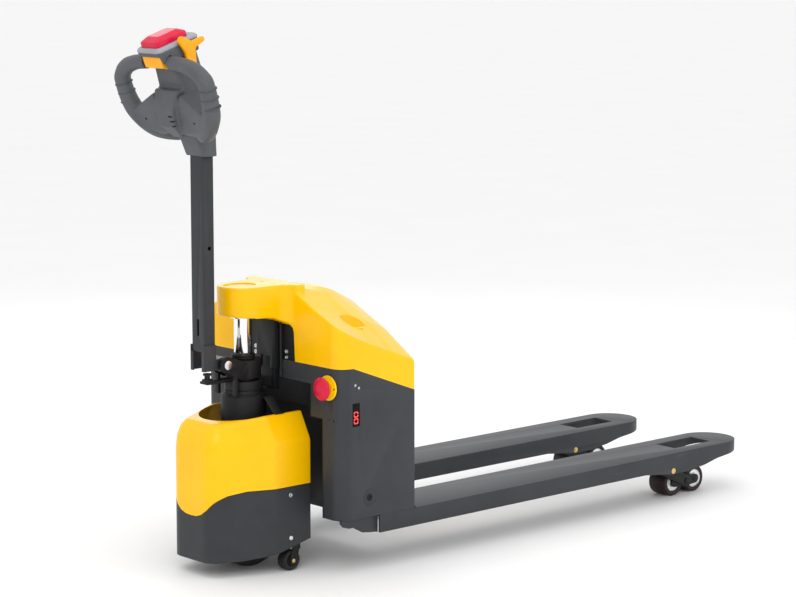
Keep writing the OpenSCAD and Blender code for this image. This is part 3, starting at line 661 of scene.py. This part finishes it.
def rib_graph():
    """Raised rings across a line, evenly spaced."""
    g = Graph("Grip ribs",
            [("Spacing", "NodeSocketFloat", 0.02), ("Ring", "NodeSocketFloat", 0.019),
            ("Height", "NodeSocketFloat", 0.0016), ("Finish", "NodeSocketMaterial", None)])
    line = g.add("GeometryNodeMeshToCurve", inputs={0: g.start.outputs["Geometry"]})
    points = g.add("GeometryNodeCurveToPoints", {"mode": "LENGTH"},
            {"Curve": line.outputs[0], "Length": g.start.outputs["Spacing"]})
    ring = g.add("GeometryNodeCurvePrimitiveCircle",
            inputs={"Resolution": 40, "Radius": g.start.outputs["Ring"]})
    wire = g.add("GeometryNodeCurvePrimitiveCircle",
            inputs={"Resolution": 10, "Radius": g.start.outputs["Height"]})
    tube = g.add("GeometryNodeCurveToMesh",
            inputs={"Curve": ring.outputs[0], "Profile Curve": wire.outputs[0]})
    put = g.add("GeometryNodeInstanceOnPoints",
            inputs={"Points": points.outputs["Points"], "Instance": tube.outputs[0],
            "Rotation": points.outputs["Rotation"]})
    return g.end(put.outputs[0])


def facing_points(spots):
    """A mesh of loose points that each know which way they face."""
    me = bpy.data.meshes.new("spots")
    me.from_pydata([p for p, _ in spots], [], [])
    at = me.attributes.new("facing", "FLOAT_VECTOR", "POINT")
    for i, (_, n) in enumerate(spots):
        at.data[i].vector = n
    return me


def line_mesh(*lines):
    me = bpy.data.meshes.new("line")
    verts, edges = [], []
    for line in lines:
        base = len(verts)
        verts += line
        edges += [(base + i, base + i + 1) for i in range(len(line) - 1)]
    me.from_pydata(verts, edges, [])
    return me


def bolts(name, body, spots, radius, height, finish_name="bright_steel", nodes=()):
    me = grown(facing_points(spots), bolt_graph(), Radius=radius, Height=height, Finish=finish(finish_name))
    return piece(name, me, body, finish_name, nodes, 30.0)


# ---------------------------------------------------------------- pieces
def table(points, at):
    """Straight-line value between (x, value) points."""
    for (x0, v0), (x1, v1) in zip(points, points[1:]):
        if at <= x1:
            t = max(0.0, (at - x0) / (x1 - x0))
            return v0 + (v1 - v0) * t
    return points[-1][1]


HOOD_CREST = [(-246, 547.5), (-200, 543.5), (-153, 537), (-121, 532), (-73, 518), (-24, 497), (-6, 488)]
HOOD_SIDE_DROP = [(-246, 87), (-211, 101), (-155, 119), (-91, 131), (-6, 128)]
HOOD_MID_DROP = [(-246, 45), (-150, 62), (-6, 65)]


def hood_height(x, y):
    """Height of the hood's roof above the fork top."""
    crest, side, mid = table(HOOD_CREST, x), table(HOOD_SIDE_DROP, x), table(HOOD_MID_DROP, x)
    flat = 0.26 - 0.20 * (x + 246) / 240
    t = abs(y) / HALF_WIDTH
    return crest - table([(0, 0), (max(flat, 0.04), 1.0), (0.6, mid), (1.0, side)], t)


class TRUCK_OT_hood(bpy.types.Operator):
    """Moulds the hood over the battery box, with its tongue, arch and finger pocket"""
    bl_idname = "truck.hood"
    bl_label = "Hood"

    def execute(self, context):
        s = sizes()
        hw = HALF_WIDTH
        stations = [-246, -223, -200, -176, -153, -121, -97, -73, -48, -24, -6]
        across = [-1, -0.8, -0.6, -0.43, -0.26, -0.13, 0, 0.13, 0.26, 0.43, 0.6, 0.8, 1]
        # a closed block under the roof, trimmed to the box's plan
        bm = bmesh.new()
        rows = []
        for x in stations:
            top = [bm.verts.new(place(x, t * hw, hood_height(x, t * hw))) for t in across]
            low = [bm.verts.new(place(x, t * hw, 230)) for t in across]
            rows.append((top, low))
        n = len(across)
        for (a, c), (b, d) in zip(rows, rows[1:]):
            for i in range(n - 1):
                bm.faces.new((a[i], a[i + 1], b[i + 1], b[i]))
                bm.faces.new((c[i], d[i], d[i + 1], c[i + 1]))
            for i in (0, n - 1):
                bm.faces.new((a[i], b[i], d[i], c[i]))
        for top, low in (rows[0], rows[-1]):
            for i in range(n - 1):
                bm.faces.new((top[i], top[i + 1], low[i + 1], low[i]))
        mass = mesh_of(bm)
        corner = lambda cx, cy, r, start: arc(cx, cy, r, r, start, math.pi / 2, 8)
        plan = (corner(-16, hw - 10, 10, 0) + corner(BOX_FRONT + 35, hw - 35, 35, math.pi / 2)
                + corner(BOX_FRONT + 35, -hw + 35, 35, math.pi) + corner(-16, -hw + 10, 10, 1.5 * math.pi))
        mass = cut(mass, prism(plan, 200, 620, place), "INTERSECT")
        nose = arc(STEER_X, 0, 62, 62, math.pi / 2, math.pi, 24)
        flare = [(BOX_FRONT - 32 + 32 * math.sin(a), 97 - 32 * math.cos(a))
                for a in [i * math.pi / 16 for i in range(9)]]
        flare_right = [(x, -y) for x, y in flare]
        outline = [(BOX_FRONT + 30, 97)] + flare[::-1] + nose + flare_right + [(BOX_FRONT + 30, -97)]
        tongue = prism(outline, 440, 551, place)
        under = [(-410, 430), (-410, 480), (STEER_X - 62, 480), (STEER_X + 45, 471),
                 (BOX_FRONT + 2, 454), (BOX_FRONT + 34, 454), (BOX_FRONT + 34, 430)]
        slope = prism(under, -140, 140, from_side)
        tongue = cut(tongue, slope)
        # the shell: the outer form less the same form moved in by the wall
        outer = moulded([mass, tongue], s.voxel, 7)
        inner = shrunk(outer, s.sheet)
        a, b = s.pocket_length * 500, s.pocket_width * 500

        def bowl(grow, low):
            """The finger pocket, widening upwards."""
            turns = [i * math.pi / 20 for i in range(40)]
            return hull([place(-134 + (a + grow) * k * math.cos(t), -176 + (b + grow) * k * math.sin(t), z)
                         for k, z in ((0.90, low), (1.0, low + 5), (1.04, 540)) for t in turns])

        shell = cut(outer, bowl(0, 447))
        shell = cut(shell, cut(inner, bowl(3, 443.5)))
        skirt = [(BOX_FRONT - 60, 200), (BOX_FRONT - 60, 366), (-207, 366), (-6, 290), (20, 280), (20, 200)]
        shell = cut(shell, prism(skirt, -300, 300, from_side))
        # openings: the arch over the mast, the vent, the cap ring and the lock slot
        arch = [(-95, 300), (-88, 436), (-84, 447), (-74, 454), (74, 454), (84, 447), (88, 436), (95, 300)]
        shell = cut(shell, prism(arch, BOX_FRONT - 40, BOX_FRONT + 60, from_front))
        # a window for the guide yoke, as high as it stands when the forks are lowered
        yoke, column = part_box("guide_yoke"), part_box("guide_column")
        x0 = (column[0].x - AXIS_X) * 1000 + STEER_X + 1.8
        x1 = (yoke[1].x - AXIS_X) * 1000 + STEER_X + 1.0
        shell = cut(shell, prism(rect(x0, -33, x1, 33), 420, (yoke[1].z - TOP) * 1000 + 49.5, place))
        shell = cut(shell, prism(circle(4.6, 24, -262, 11), 520, 570, place))
        shell = cut(shell, prism([(STEER_X - 10 + x * 1.25, y) for x, y in circle(34, 40)], 548.6,
                570, place))
        shell = cut(shell, prism(rect(-146, -200.5, -122, -196), 430, 452, place))
        piece("hood_moulding", shell, "chassis", "cover_yellow", ("hood",), 42.0)
        return {"FINISHED"}


SWOOP = [(0, 12), (20, 13), (38, 19), (56, 32), (72, 50), (90, 67), (110, 75), (155, 77)]


class TRUCK_OT_drive_cover(bpy.types.Operator):
    """Moulds the two-part cover of the drive unit and its screws"""
    bl_idname = "truck.drive_cover"
    bl_label = "Drive cover"

    def execute(self, context):
        s = sizes()
        points = []
        for sy in (-1, 1):
            for r, z in ((45, -110), (45, 165), (42, 195), (33, 220), (18, 236)):
                points += [place(STEER_X + DRIVE_FRONT + u, sy * 43 + v, z) for u, v in circle(r, 40)]
            for y, z in ((140, -110), (140, 185), (106, 248)):
                points += [place(-348, sy * y, z), place(-237, sy * y, z)]
        outer = moulded([hull(points)], s.voxel, 9)
        inner = shrunk(outer, s.sheet)
        shell = cut(outer, inner)
        shell = cut(shell, prism(rect(-240.5, -200, -150, 200), -130, 300, place))
        mouth = arc(STEER_X, 0, 114, 99, math.pi / 2, math.pi, 40) + [(-150, -99), (-150, 99)]
        shell = cut(shell, prism(mouth, 150, 320, place))
        foot = [(-560, -98), (-420, -93), (-348, -84), (-309, -75), (-230, -57), (-230, -160), (-560, -160)]
        shell = cut(shell, prism(foot, -200, 200, from_side))
        # the swooping line where the bonnet meets the skirt
        def line(o):
            right = [(y, z + o) for y, z in SWOOP]
            left = [(-y, z + o) for y, z in SWOOP[:0:-1]]
            return right + [(155, -200), (-155, -200)] + left

        lower = cut(shell, prism(line(-0.5), -560, -200, from_front), "INTERSECT")
        upper = cut(shell, prism(line(0.5), -560, -200, from_front))
        piece("cover_skirt", lower, "drive_unit", "skirt_charcoal", ("cover_lower",), 45.0)
        piece("cover_bonnet", upper, "drive_unit", "cover_yellow", ("cover_upper",), 45.0)
        spots = [(place(-303, k * 141.0, z), Vector((0, k, 0))) for k in (-1, 1) for z in (56, -49)]
        bolts("cover_bolts", "drive_unit", spots, 0.0055, 0.0026, nodes=("cover_screws",))
        return {"FINISHED"}


def spine(z, x1, x2, hy, r):
    """Points of a rounded cross-section of the tiller head."""
    out = []
    for cx in (x1 + r, x2 - r):
        for sy in (-1, 1):
            out += [head(cx + r * math.cos(a), sy * (hy - r) + r * math.sin(a), z)
                    for a in [i * math.pi / 10 for i in range(20)]]
    return out


def ball(centre, r, rings=6, steps=14):
    """Points of a sphere, in metres."""
    out = []
    for i in range(rings + 1):
        for j in range(steps):
            th, ph = math.pi * i / rings, 2 * math.pi * j / steps
            out.append(centre + Vector((math.sin(th) * math.cos(ph), math.sin(th) * math.sin(ph),
                    math.cos(th))) * r)
    return out


def smooth_path(points, steps=6):
    """Catmull-Rom points through a list of tuples."""
    out = []
    p = [points[0]] + list(points) + [points[-1]]
    for i in range(1, len(p) - 2):
        for k in range(steps):
            t = k / steps
            out.append(tuple(0.5 * (2 * b + (c - a) * t + (2 * a - 5 * b + 4 * c - d) * t * t
                                    + (3 * b - a - 3 * c + d) * t ** 3)
                             for a, b, c, d in zip(p[i - 1], p[i], p[i + 1], p[i + 2])))
    return out + [tuple(points[-1])]


# local X, Y, Z and radius of the grip loop, from the pod down to the neck
GRIP = [(-3, 40, 223, 17), (-4, 88, 220, 18), (-5, 130, 208, 19.5), (-6, 156, 186, 20),
        (-7, 160, 164, 20.5),
        (-7, 156, 130, 21), (-5, 144, 98, 22), (0, 118, 68, 22), (10, 84, 46, 21), (28, 50, 32, 17)]
# corners of the web that fills the lower end of each loop, and of the raised bulb between the webs
WEB = [(-12, 20, 50), (62, 30, 40), (-18, 34, 120), (60, 52, 128), (-12, 52, 146), (56, 58, 150),
       (-22, 134, 104), (14, 146, 100), (-20, 112, 62), (16, 116, 60), (0, 84, 36), (34, 84, 36)]
BULB = [(-10, 16, 40), (-30, 26, 74), (-30, 34, 116), (-8, 44, 156), (40, 30, 40), (40, 50, 156)]


class TRUCK_OT_tiller_head(bpy.types.Operator):
    """Moulds the tiller head with both grip loops, the control pod and the safety button"""
    bl_idname = "truck.tiller_head"
    bl_label = "Tiller head"

    def execute(self, context):
        s = sizes()
        parts = [hull(spine(30, 18, 76, 40, 12) + spine(100, 8, 84, 62, 18) + spine(158, 8, 78, 52, 14)),
                 hull(spine(158, 8, 78, 52, 14) + spine(223, 2, 84, 38, 12))]
        middle = TUBE[0].x / 2 + TUBE[1].x / 2
        neck_low = [Vector((middle + (cx * 13.5 + u) / 1000, (cy * 31 + v) / 1000, TUBE[1].z - 0.010))
                    for cx in (-1, 1) for cy in (-1, 1) for u, v in circle(6, 12)]
        parts.append(hull(spine(32, 17, 77, 41, 12) + neck_low))
        for k in (-1, 1):
            balls = [ball(head(x, k * y, z), r / 1000) for x, y, z, r in smooth_path(GRIP, 5)]
            parts += [hull(a + b) for a, b in zip(balls, balls[1:])]
            parts.append(hull([head(x, k * y, z) for x, y, z in WEB]))
        parts.append(hull([head(x, k * y, z) for k in (-1, 1) for x, y, z in BULB]))
        body = moulded(parts, 0.0026, 4)
        body = cut(body, prism(rect(TUBE[0].x, TUBE[0].y, TUBE[1].x, TUBE[1].y),
                               TUBE[1].z - 0.05, TUBE[1].z + 0.0005, lambda u, v, w: Vector((u, v, w))))
        body = cut(body, prism(rect(-60, -46.5, 2, 46.5), 206, 290, head))
        body = cut(body, hull([head(x, y, z) for x in (-60, 100) for y in (-46.8, 46.8)
                for z in (223.6, 300)]))
        for k in (-1, 1):
            body = cut(body, prism(circle(3.4, 20, k * 92, 84), -32, 14, head_front))
        for i in range(3):
            body = cut(body, prism(rect(-34 + i * 3, 74 + i * 12, -18 + i * 3, 78 + i * 12), -40, -24,
                    head_front))
        piece("tiller_moulding", body, "tiller", "head_plastic",
                ("tiller_head", "tiller_grips"), 50.0)
        # raised ribs down the outside of each grip
        lines = []
        for k in (-1, 1):
            lines.append([head(-6, k * 160.0, 166),
                    head(-6, k * 157.4, 166 - (s.ribs - 1) * s.rib_gap * 1000)])
        ribs = grown(line_mesh(*lines), rib_graph(), Spacing=s.rib_gap, Ring=0.0200, Height=0.0020,
                Finish=finish("grip_plastic"))
        piece("grip_ribs", ribs, "tiller", "grip_plastic", (), 40.0)
        # control pod: dark lower half, lighter top shell with a seat for the button
        lower = moulded([hull(spine(POD_FLOOR, -20, 88, 46, 14) + spine(POD_SEAM + 1, -30, 92, 45.2, 12))],
                0.0022, 3)
        upper = moulded([hull(spine(POD_SEAM - 1, -30, 93, 45.6, 13) + spine(258, -31, 94.5, 45.6, 13)
                + spine(264, -27, 90, 42, 13))], 0.0022, 3)
        seat = prism(rounded(-22, -34, 72, 34, 9), 246, 300, head)
        pocket = hull([head(x, y, z) for x in (-42, 8) for y in (-36.6, 36.6) for z in (205, 243.6)])
        lower = cut(cut(lower, seat), pocket)
        for k in (-1, 1):
            lower = cut(lower, prism(circle(4, 20, -2, 238), k * 40 - 8, k * 40 + 8, head_side))
        shaft = prism(circle(6.1, 24, LEVER_X, LEVER_Z), -70, 70, head_side)
        piece("pod_base", cut(lower, shaft), "tiller", "head_plastic", ("head_pod",), 40.0)
        piece("pod_shell", cut(cut(upper, seat), shaft), "tiller", "pod_light", (), 40.0)
        base = [head(x, y, z) for z in (250.5, 276) for x, y in rounded(-21.2, -33.2, 71.2, 33.2, 8)]
        crown = [head(x, y, 285.4) for x, y in rounded(-4, -22, 56, 22, 7)]
        button = moulded([hull(base + crown)], 0.0018, 4)
        piece("safety_button", button, "belly", "red_gloss", ("belly_button",), 40.0)
        return {"FINISHED"}


def rounded(x0, y0, x1, y1, r):
    """A rounded rectangle."""
    out = []
    for cx, cy, a0 in ((x1 - r, y1 - r, 0), (x0 + r, y1 - r, 1), (x0 + r, y0 + r, 2), (x1 - r, y0 + r, 3)):
        out += [(cx + r * math.cos((a0 + i / 6) * math.pi / 2),
                cy + r * math.sin((a0 + i / 6) * math.pi / 2)) for i in range(7)]
    return out


class TRUCK_OT_levers(bpy.types.Operator):
    """Moulds the speed lever with its wings and the lift button"""
    bl_idname = "truck.levers"
    bl_label = "Levers"

    def execute(self, context):
        flat = lambda k: (lambda u, v, w: head(u, k * 53 + w, v))
        # centre and radius at each end of the two wings and the finger tab
        arms = [((LEVER_X, LEVER_Z, 17), (34, 264, 10)), ((LEVER_X, LEVER_Z, 16), (45, 194, 11.2)),
                ((54, 244, 10), (90, 248, 7))]
        parts = [prism(circle(5.8, 28, LEVER_X, LEVER_Z), -53, 53, head_side)]
        for k in (-1, 1):
            for (ax, az, ar), (bx, bz, br) in arms:
                rim = []
                for w, inset in ((-5.2, 1.2), (-3.4, 0), (3.4, 0), (5.2, 1.2)):
                    rim += [flat(k)(u, v, w) for u, v in circle(ar - inset, 28, ax, az)
                            + circle(br - inset, 28, bx, bz)]
                parts.append(hull(rim))
        piece("speed_lever", moulded(parts, 0.0019, 5), "throttle_lever", "lever_yellow",
                ("throttle",), 40.0)
        corners = [(-8, -32, 209), (-2.4, -32, 209), (-2.4, -35.4, 242.6), (-22, -33, 216),
                (-22, -35.4, 242.6)]
        block = [head(x, y, z) for x, y, z in corners]
        block += [Vector((p.x, -p.y, p.z)) for p in block]
        stem = [head(x, y, z) for x in (-10, 4) for y in (-24, 24) for z in (227, 242)]
        piece("lift_rocker", moulded([hull(block), hull(stem)], 0.0014, 3), "lift_button", "lever_yellow",
                ("lift_switch",), 40.0)
        return {"FINISHED"}


def wheel_pair(name, centre, body, nodes, r, w, core, bore, tread, hub_finish, steps=72):
    """A wheel: a crowned tyre on a dished hub, with a bearing ring each side."""
    h = w / 2
    crown = [(core, -h + 1.6), (r - 4.5, -h + 0.4), (r - 1.6, -h + 1.8), (r - 0.2, -h + 5), (r, 0),
             (r - 0.2, h - 5), (r - 1.6, h - 1.8), (r - 4.5, h - 0.4), (core, h - 1.6)]
    piece(name + "_tyre", lathe(crown, centre, "Y", steps), body, tread, nodes, 30.0)
    half = [(bore, -h + 0.4), (bore + 3, -h + 0.4), (bore + 3.4, -h + 1.4), (bore + 8, -h + 1.4),
            (bore + 8.6, -h + 3.2), (core - 1.4, -h + 3.2), (core + 0.1, -h + 1.4)]
    hub = lathe(half + [(q, -w) for q, w in half[::-1]], centre, "Y", steps)
    piece(name + "_hub", hub, body, hub_finish, (), 30.0)


class TRUCK_OT_wheels(bpy.types.Operator):
    """Turns the load rollers, stabiliser wheels and the drive wheel"""
    bl_idname = "truck.wheels"
    bl_label = "Wheels"

    def execute(self, context):
        for node in ("roller_fl", "roller_rl", "roller_fr", "roller_rr"):
            lo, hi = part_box(node)
            c = (lo + hi) / 2
            wheel_pair(node, c, NODE_BODY[node], (node,), (hi.z - lo.z) * 500, (hi.y - lo.y) * 1000, 24,
                    6.06, "roller_urethane", "bright_steel")
        for node in ("stabiliser_wheel_left", "stabiliser_wheel_right"):
            lo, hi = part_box(node)
            wheel_pair(node, (lo + hi) / 2, NODE_BODY[node], (node,), (hi.z - lo.z) * 500,
                    (hi.y - lo.y) * 1000, 15, 5.06, "black_rubber", "casting_black", 56)
        lo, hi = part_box("drive_tyre")
        c, r, h = (lo + hi) / 2, (hi.z - lo.z) * 500, (hi.y - lo.y) * 500
        groove = []
        for y in (-18, -6, 6, 18):
            groove += [(r - 0.1, y - 2.0), (r - 2.2, y - 1.4), (r - 2.2, y + 1.4), (r - 0.1, y + 2.0)]
        tyre = lathe([(r - 22, -h + 2), (r - 7, -h + 0.4), (r - 2, -h + 2), (r, -h + 6)]
                + groove + [(r, h - 6), (r - 2, h - 2), (r - 7, h - 0.4), (r - 22, h - 2)], c, "Y", 96)
        piece("drive_wheel_tyre", tyre, "drive_wheel", "tyre_rubber", ("drive_tyre",), 30.0)
        spots = [(Vector((c.x + 0.033 * math.cos(a), k * 0.0165, c.z + 0.033 * math.sin(a))),
                Vector((0, k, 0))) for k in (-1, 1) for a in [i * math.pi / 3 for i in range(6)]]
        bolts("drive_hub_bolts", "drive_wheel", spots, 0.0045, 0.003)
        return {"FINISHED"}


EASED = [
    # The forks, box shell and floor frame use the frame colour, which is darkened in part as painted shade.
    ("fork_left", "fork_charcoal_and_shade", 1.0), ("fork_right", "fork_charcoal_and_shade", 1.0),
    ("box_shell", "frame_charcoal_and_shade", 1.0),
    ("floor_frame", "frame_charcoal_and_shade", 1.0), ("guide_column", "frame_dark", 1.0),
    ("mast_plate", "frame_dark", 1.0),
    ("guide_yoke", "frame_dark", 1.0), ("bridge_beam", "frame_dark", 1.2),
    ("tiller_bracket", "casting_black", 1.6),
    ("tiller_foot", "tube_charcoal", 0.5), ("tiller_tube", "tube_charcoal", 0.6),
    ("drive_frame", "casting_black", 1.5),
    ("stabiliser_frame", "casting_black", 0.8), ("cover_straps", "frame_dark", 0.8),
    ("neck_drum", "casting_black", 1.6),
    ("lift_cylinder", "casting_black", 0.8), ("lift_rod", "chrome", 0.8),
    ("bell_crank_left", "oiled_steel", 1.0),
    ("bell_crank_right", "oiled_steel", 1.0), ("push_rod_left", "oiled_steel", 0.8),
    ("push_rod_right", "oiled_steel", 0.8),
    ("load_arm_left", "frame_dark", 1.2), ("load_arm_right", "frame_dark", 1.2),
    ("bogie_left", "frame_dark", 0.6),
    ("bogie_right", "frame_dark", 0.6), ("traction_motor", "motor_casting", 0.8),
    ("pump_motor", "motor_casting", 1.0),
    ("battery_pack", "battery_case", 3.0), ("tiller_pivot_pin", "bright_steel", 0.7),
    ("arm_pins", "axle_brass", 1.0),
    ("stabiliser_axles", "axle_brass", 0.8), ("estop_ring", "ring_yellow", 0.6),
    ("display_window", "display_black", 0.4),
]
PLAIN = {"recess_liner": "frame_dark", "display_digits": "digit_red", "indicator_lamps": "lamp_clear",
        "conduit": "black_rubber",
         "drive_hub": "hub_casting", "tiller_spring": "oiled_steel", "tiller_bumper": "black_rubber"}


class TRUCK_OT_frame_parts(bpy.types.Operator):
    """Eases the edges of the steel parts and gives every part its finish"""
    bl_idname = "truck.frame_parts"
    bl_label = "Frame parts"

    def execute(self, context):
        for node, finish_name, width in EASED:
            eased(node, finish_name, width / 1000)
        for node, finish_name in PLAIN.items():
            ob = frame["nodes"][node]
            ob.data.materials.clear()
            ob.data.materials.append(finish(finish_name))
        return {"FINISHED"}


class TRUCK_OT_fixings(bpy.types.Operator):
    """Sets the bolts, weld beads, the emergency stop cap and the small side fittings"""
    bl_idname = "truck.fixings"
    bl_label = "Fixings"

    def execute(self, context):
        s = sizes()
        lo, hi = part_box("mast_bolts")
        spots = [(Vector((hi.x - 0.0016, y, z)), Vector((-1, 0, 0))) for y in (-0.058, 0.058)
                for z in (lo.z + 0.0052, hi.z - 0.0052)]
        bolts("mast_bolt_heads", "chassis", spots, 0.0052, 0.0032, nodes=("mast_bolts",))
        lines = []
        for k in (-1, 1):
            y0, y1 = k * 0.1045, k * 0.2560
            x = place(-5.2, 0, 0).x
            lines.append([Vector((x, y0, TOP)), Vector((x, y1, TOP))])
        # The weld beads take the fork finish: the steel's charcoal with painted shade set into it.
        bead = grown(line_mesh(*lines), bead_graph(), Ripple=s.bead, Size=0.0030, Seed=3,
                Finish=finish("fork_charcoal_and_shade"))
        piece("heel_welds", bead, "chassis", "fork_charcoal_and_shade", (), 60.0)
        lo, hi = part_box("estop_button")
        c = Vector((place(BOX_FRONT, 0, 0).x, (lo.y + hi.y) / 2, (lo.z + hi.z) / 2))
        cap = lathe([(0, 9), (13, 9), (13, 6.5), (9, 6.5), (9, -11), (12, -15), (17, -16.0), (23, -17),
                (26.6, -18.6), (28, -21), (27.8, -23.2),
                     (26, -25.4), (22, -27.4), (15, -29), (8, -29.8), (0, -30)], c, "X", 64)
        piece("emergency_stop_cap", cap, "emergency_stop", "red_gloss",
                ("estop_button",), 40.0)
        spots = [(c + Vector((-0.0042, 0.025 * math.cos(a), 0.025 * math.sin(a))), Vector((-1, 0, 0)))
                for a in (0.0, math.pi)]
        bolts("emergency_stop_screws", "chassis", spots, 0.0018, 0.0010, "frame_dark")
        lo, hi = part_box("pivot_caps")
        x, z = place(CRANK_X, 0, 0).x, place(0, 0, CRANK_Z).z
        caps = welded("pivot_caps")
        for k, y in ((1, hi.y), (-1, lo.y)):
            well = [(x + u / 1000, z + v / 1000) for u, v in circle(8.6, 32)]
            caps = cut(caps, prism(well, y - k * 0.0038, y + k * 0.004, lambda u, v, w: Vector((u, w, v))))
            bolts("crank_bolt_" + ("left" if k > 0 else "right"), "chassis",
                    [(Vector((x, y - k * 0.0024, z)), Vector((0, k, 0)))], 0.0072, 0.0028, "casting_black")
        piece("crank_caps", caps, "chassis", "skirt_charcoal", ("pivot_caps",),
                30.0, 0.0006)
        return {"FINISHED"}


class TRUCK_OT_stage(bpy.types.Operator):
    """Sets the pale floor, soft lights and the camera"""
    bl_idname = "truck.stage"
    bl_label = "Stage"

    def execute(self, context):
        scene = context.scene
        bm = bmesh.new()
        bmesh.ops.create_grid(bm, x_segments=8, y_segments=8, size=90)
        floor = scratch(mesh_of(bm), "studio_floor")
        floor.data.materials.append(finish("floor_pale"))
        world = bpy.data.worlds.new("studio")
        scene.world = world
        world.use_nodes = True
        world.node_tree.nodes["Background"].inputs[0].default_value = (1, 1, 1, 1)
        world.node_tree.nodes["Background"].inputs[1].default_value = 1.0
        aim = place(-100, 0, 350)
        for name, at, size, power in (("overhead", (-0.6, -0.4, 3.4), 3.4, 20),
                ("key", (-2.6, -2.4, 2.4), 1.8, 22),
                                      ("rim", (1.6, 2.8, 2.2), 2.0, 12),
                                      ("side", (1.6, -3.2, 1.5), 2.2, 8)):
            lamp = bpy.data.lights.new(name, "AREA")
            lamp.shape, lamp.size, lamp.energy = "SQUARE", size, power
            ob = bpy.data.objects.new(name, lamp)
            scene.collection.objects.link(ob)
            ob.location = at
            ob.rotation_euler = (aim - ob.location).to_track_quat("-Z", "Y").to_euler()
        cam = bpy.data.cameras.new("camera")
        cam.sensor_width, cam.lens = 36.0, 117.4
        ob = bpy.data.objects.new("camera", cam)
        scene.collection.objects.link(ob)
        ob.location = place(-4161.64, -4811.26, 1458.30)
        heading, pitch = math.radians(48.013), math.radians(8.715)
        ahead = Vector((math.cos(heading) * math.cos(pitch), math.sin(heading) * math.cos(pitch),
                -math.sin(pitch)))
        ob.rotation_euler = ahead.to_track_quat("-Z", "Y").to_euler()
        scene.camera = ob
        scene.view_settings.view_transform = "Standard"
        return {"FINISHED"}


STEPS = (TRUCK_OT_stage, TRUCK_OT_frame_parts, TRUCK_OT_hood, TRUCK_OT_drive_cover, TRUCK_OT_tiller_head,
         TRUCK_OT_levers, TRUCK_OT_wheels, TRUCK_OT_fixings)


class TRUCK_PT_panel(bpy.types.Panel):
    """Lists the truck's pieces and settings"""
    bl_idname = "TRUCK_PT_panel"
    bl_label = "Pallet truck"
    bl_space_type = "VIEW_3D"
    bl_region_type = "UI"
    bl_category = "Pallet truck"

    def draw(self, context):
        for group in (context.scene.truck_finish, context.scene.truck_sizes):
            for name in group.bl_rna.properties.keys():
                if name not in ("name", "rna_type"):
                    self.layout.prop(group, name)
        for step in STEPS:
            self.layout.operator(step.bl_idname)


CLASSES = (TruckFinish, TruckSizes, *STEPS, TRUCK_PT_panel)


def register():
    for cls in CLASSES:
        bpy.utils.register_class(cls)
    bpy.types.Scene.truck_finish = PointerProperty(type=TruckFinish)
    bpy.types.Scene.truck_sizes = PointerProperty(type=TruckSizes)


def unregister():
    del bpy.types.Scene.truck_sizes
    del bpy.types.Scene.truck_finish
    for cls in reversed(CLASSES):
        bpy.utils.unregister_class(cls)


def main():
    register()
    for step in STEPS:
        group, name = step.bl_idname.split(".")
        getattr(getattr(bpy.ops, group), name)()
    bpy.context.view_layer.update()


if __name__ == "__main__":
    main()
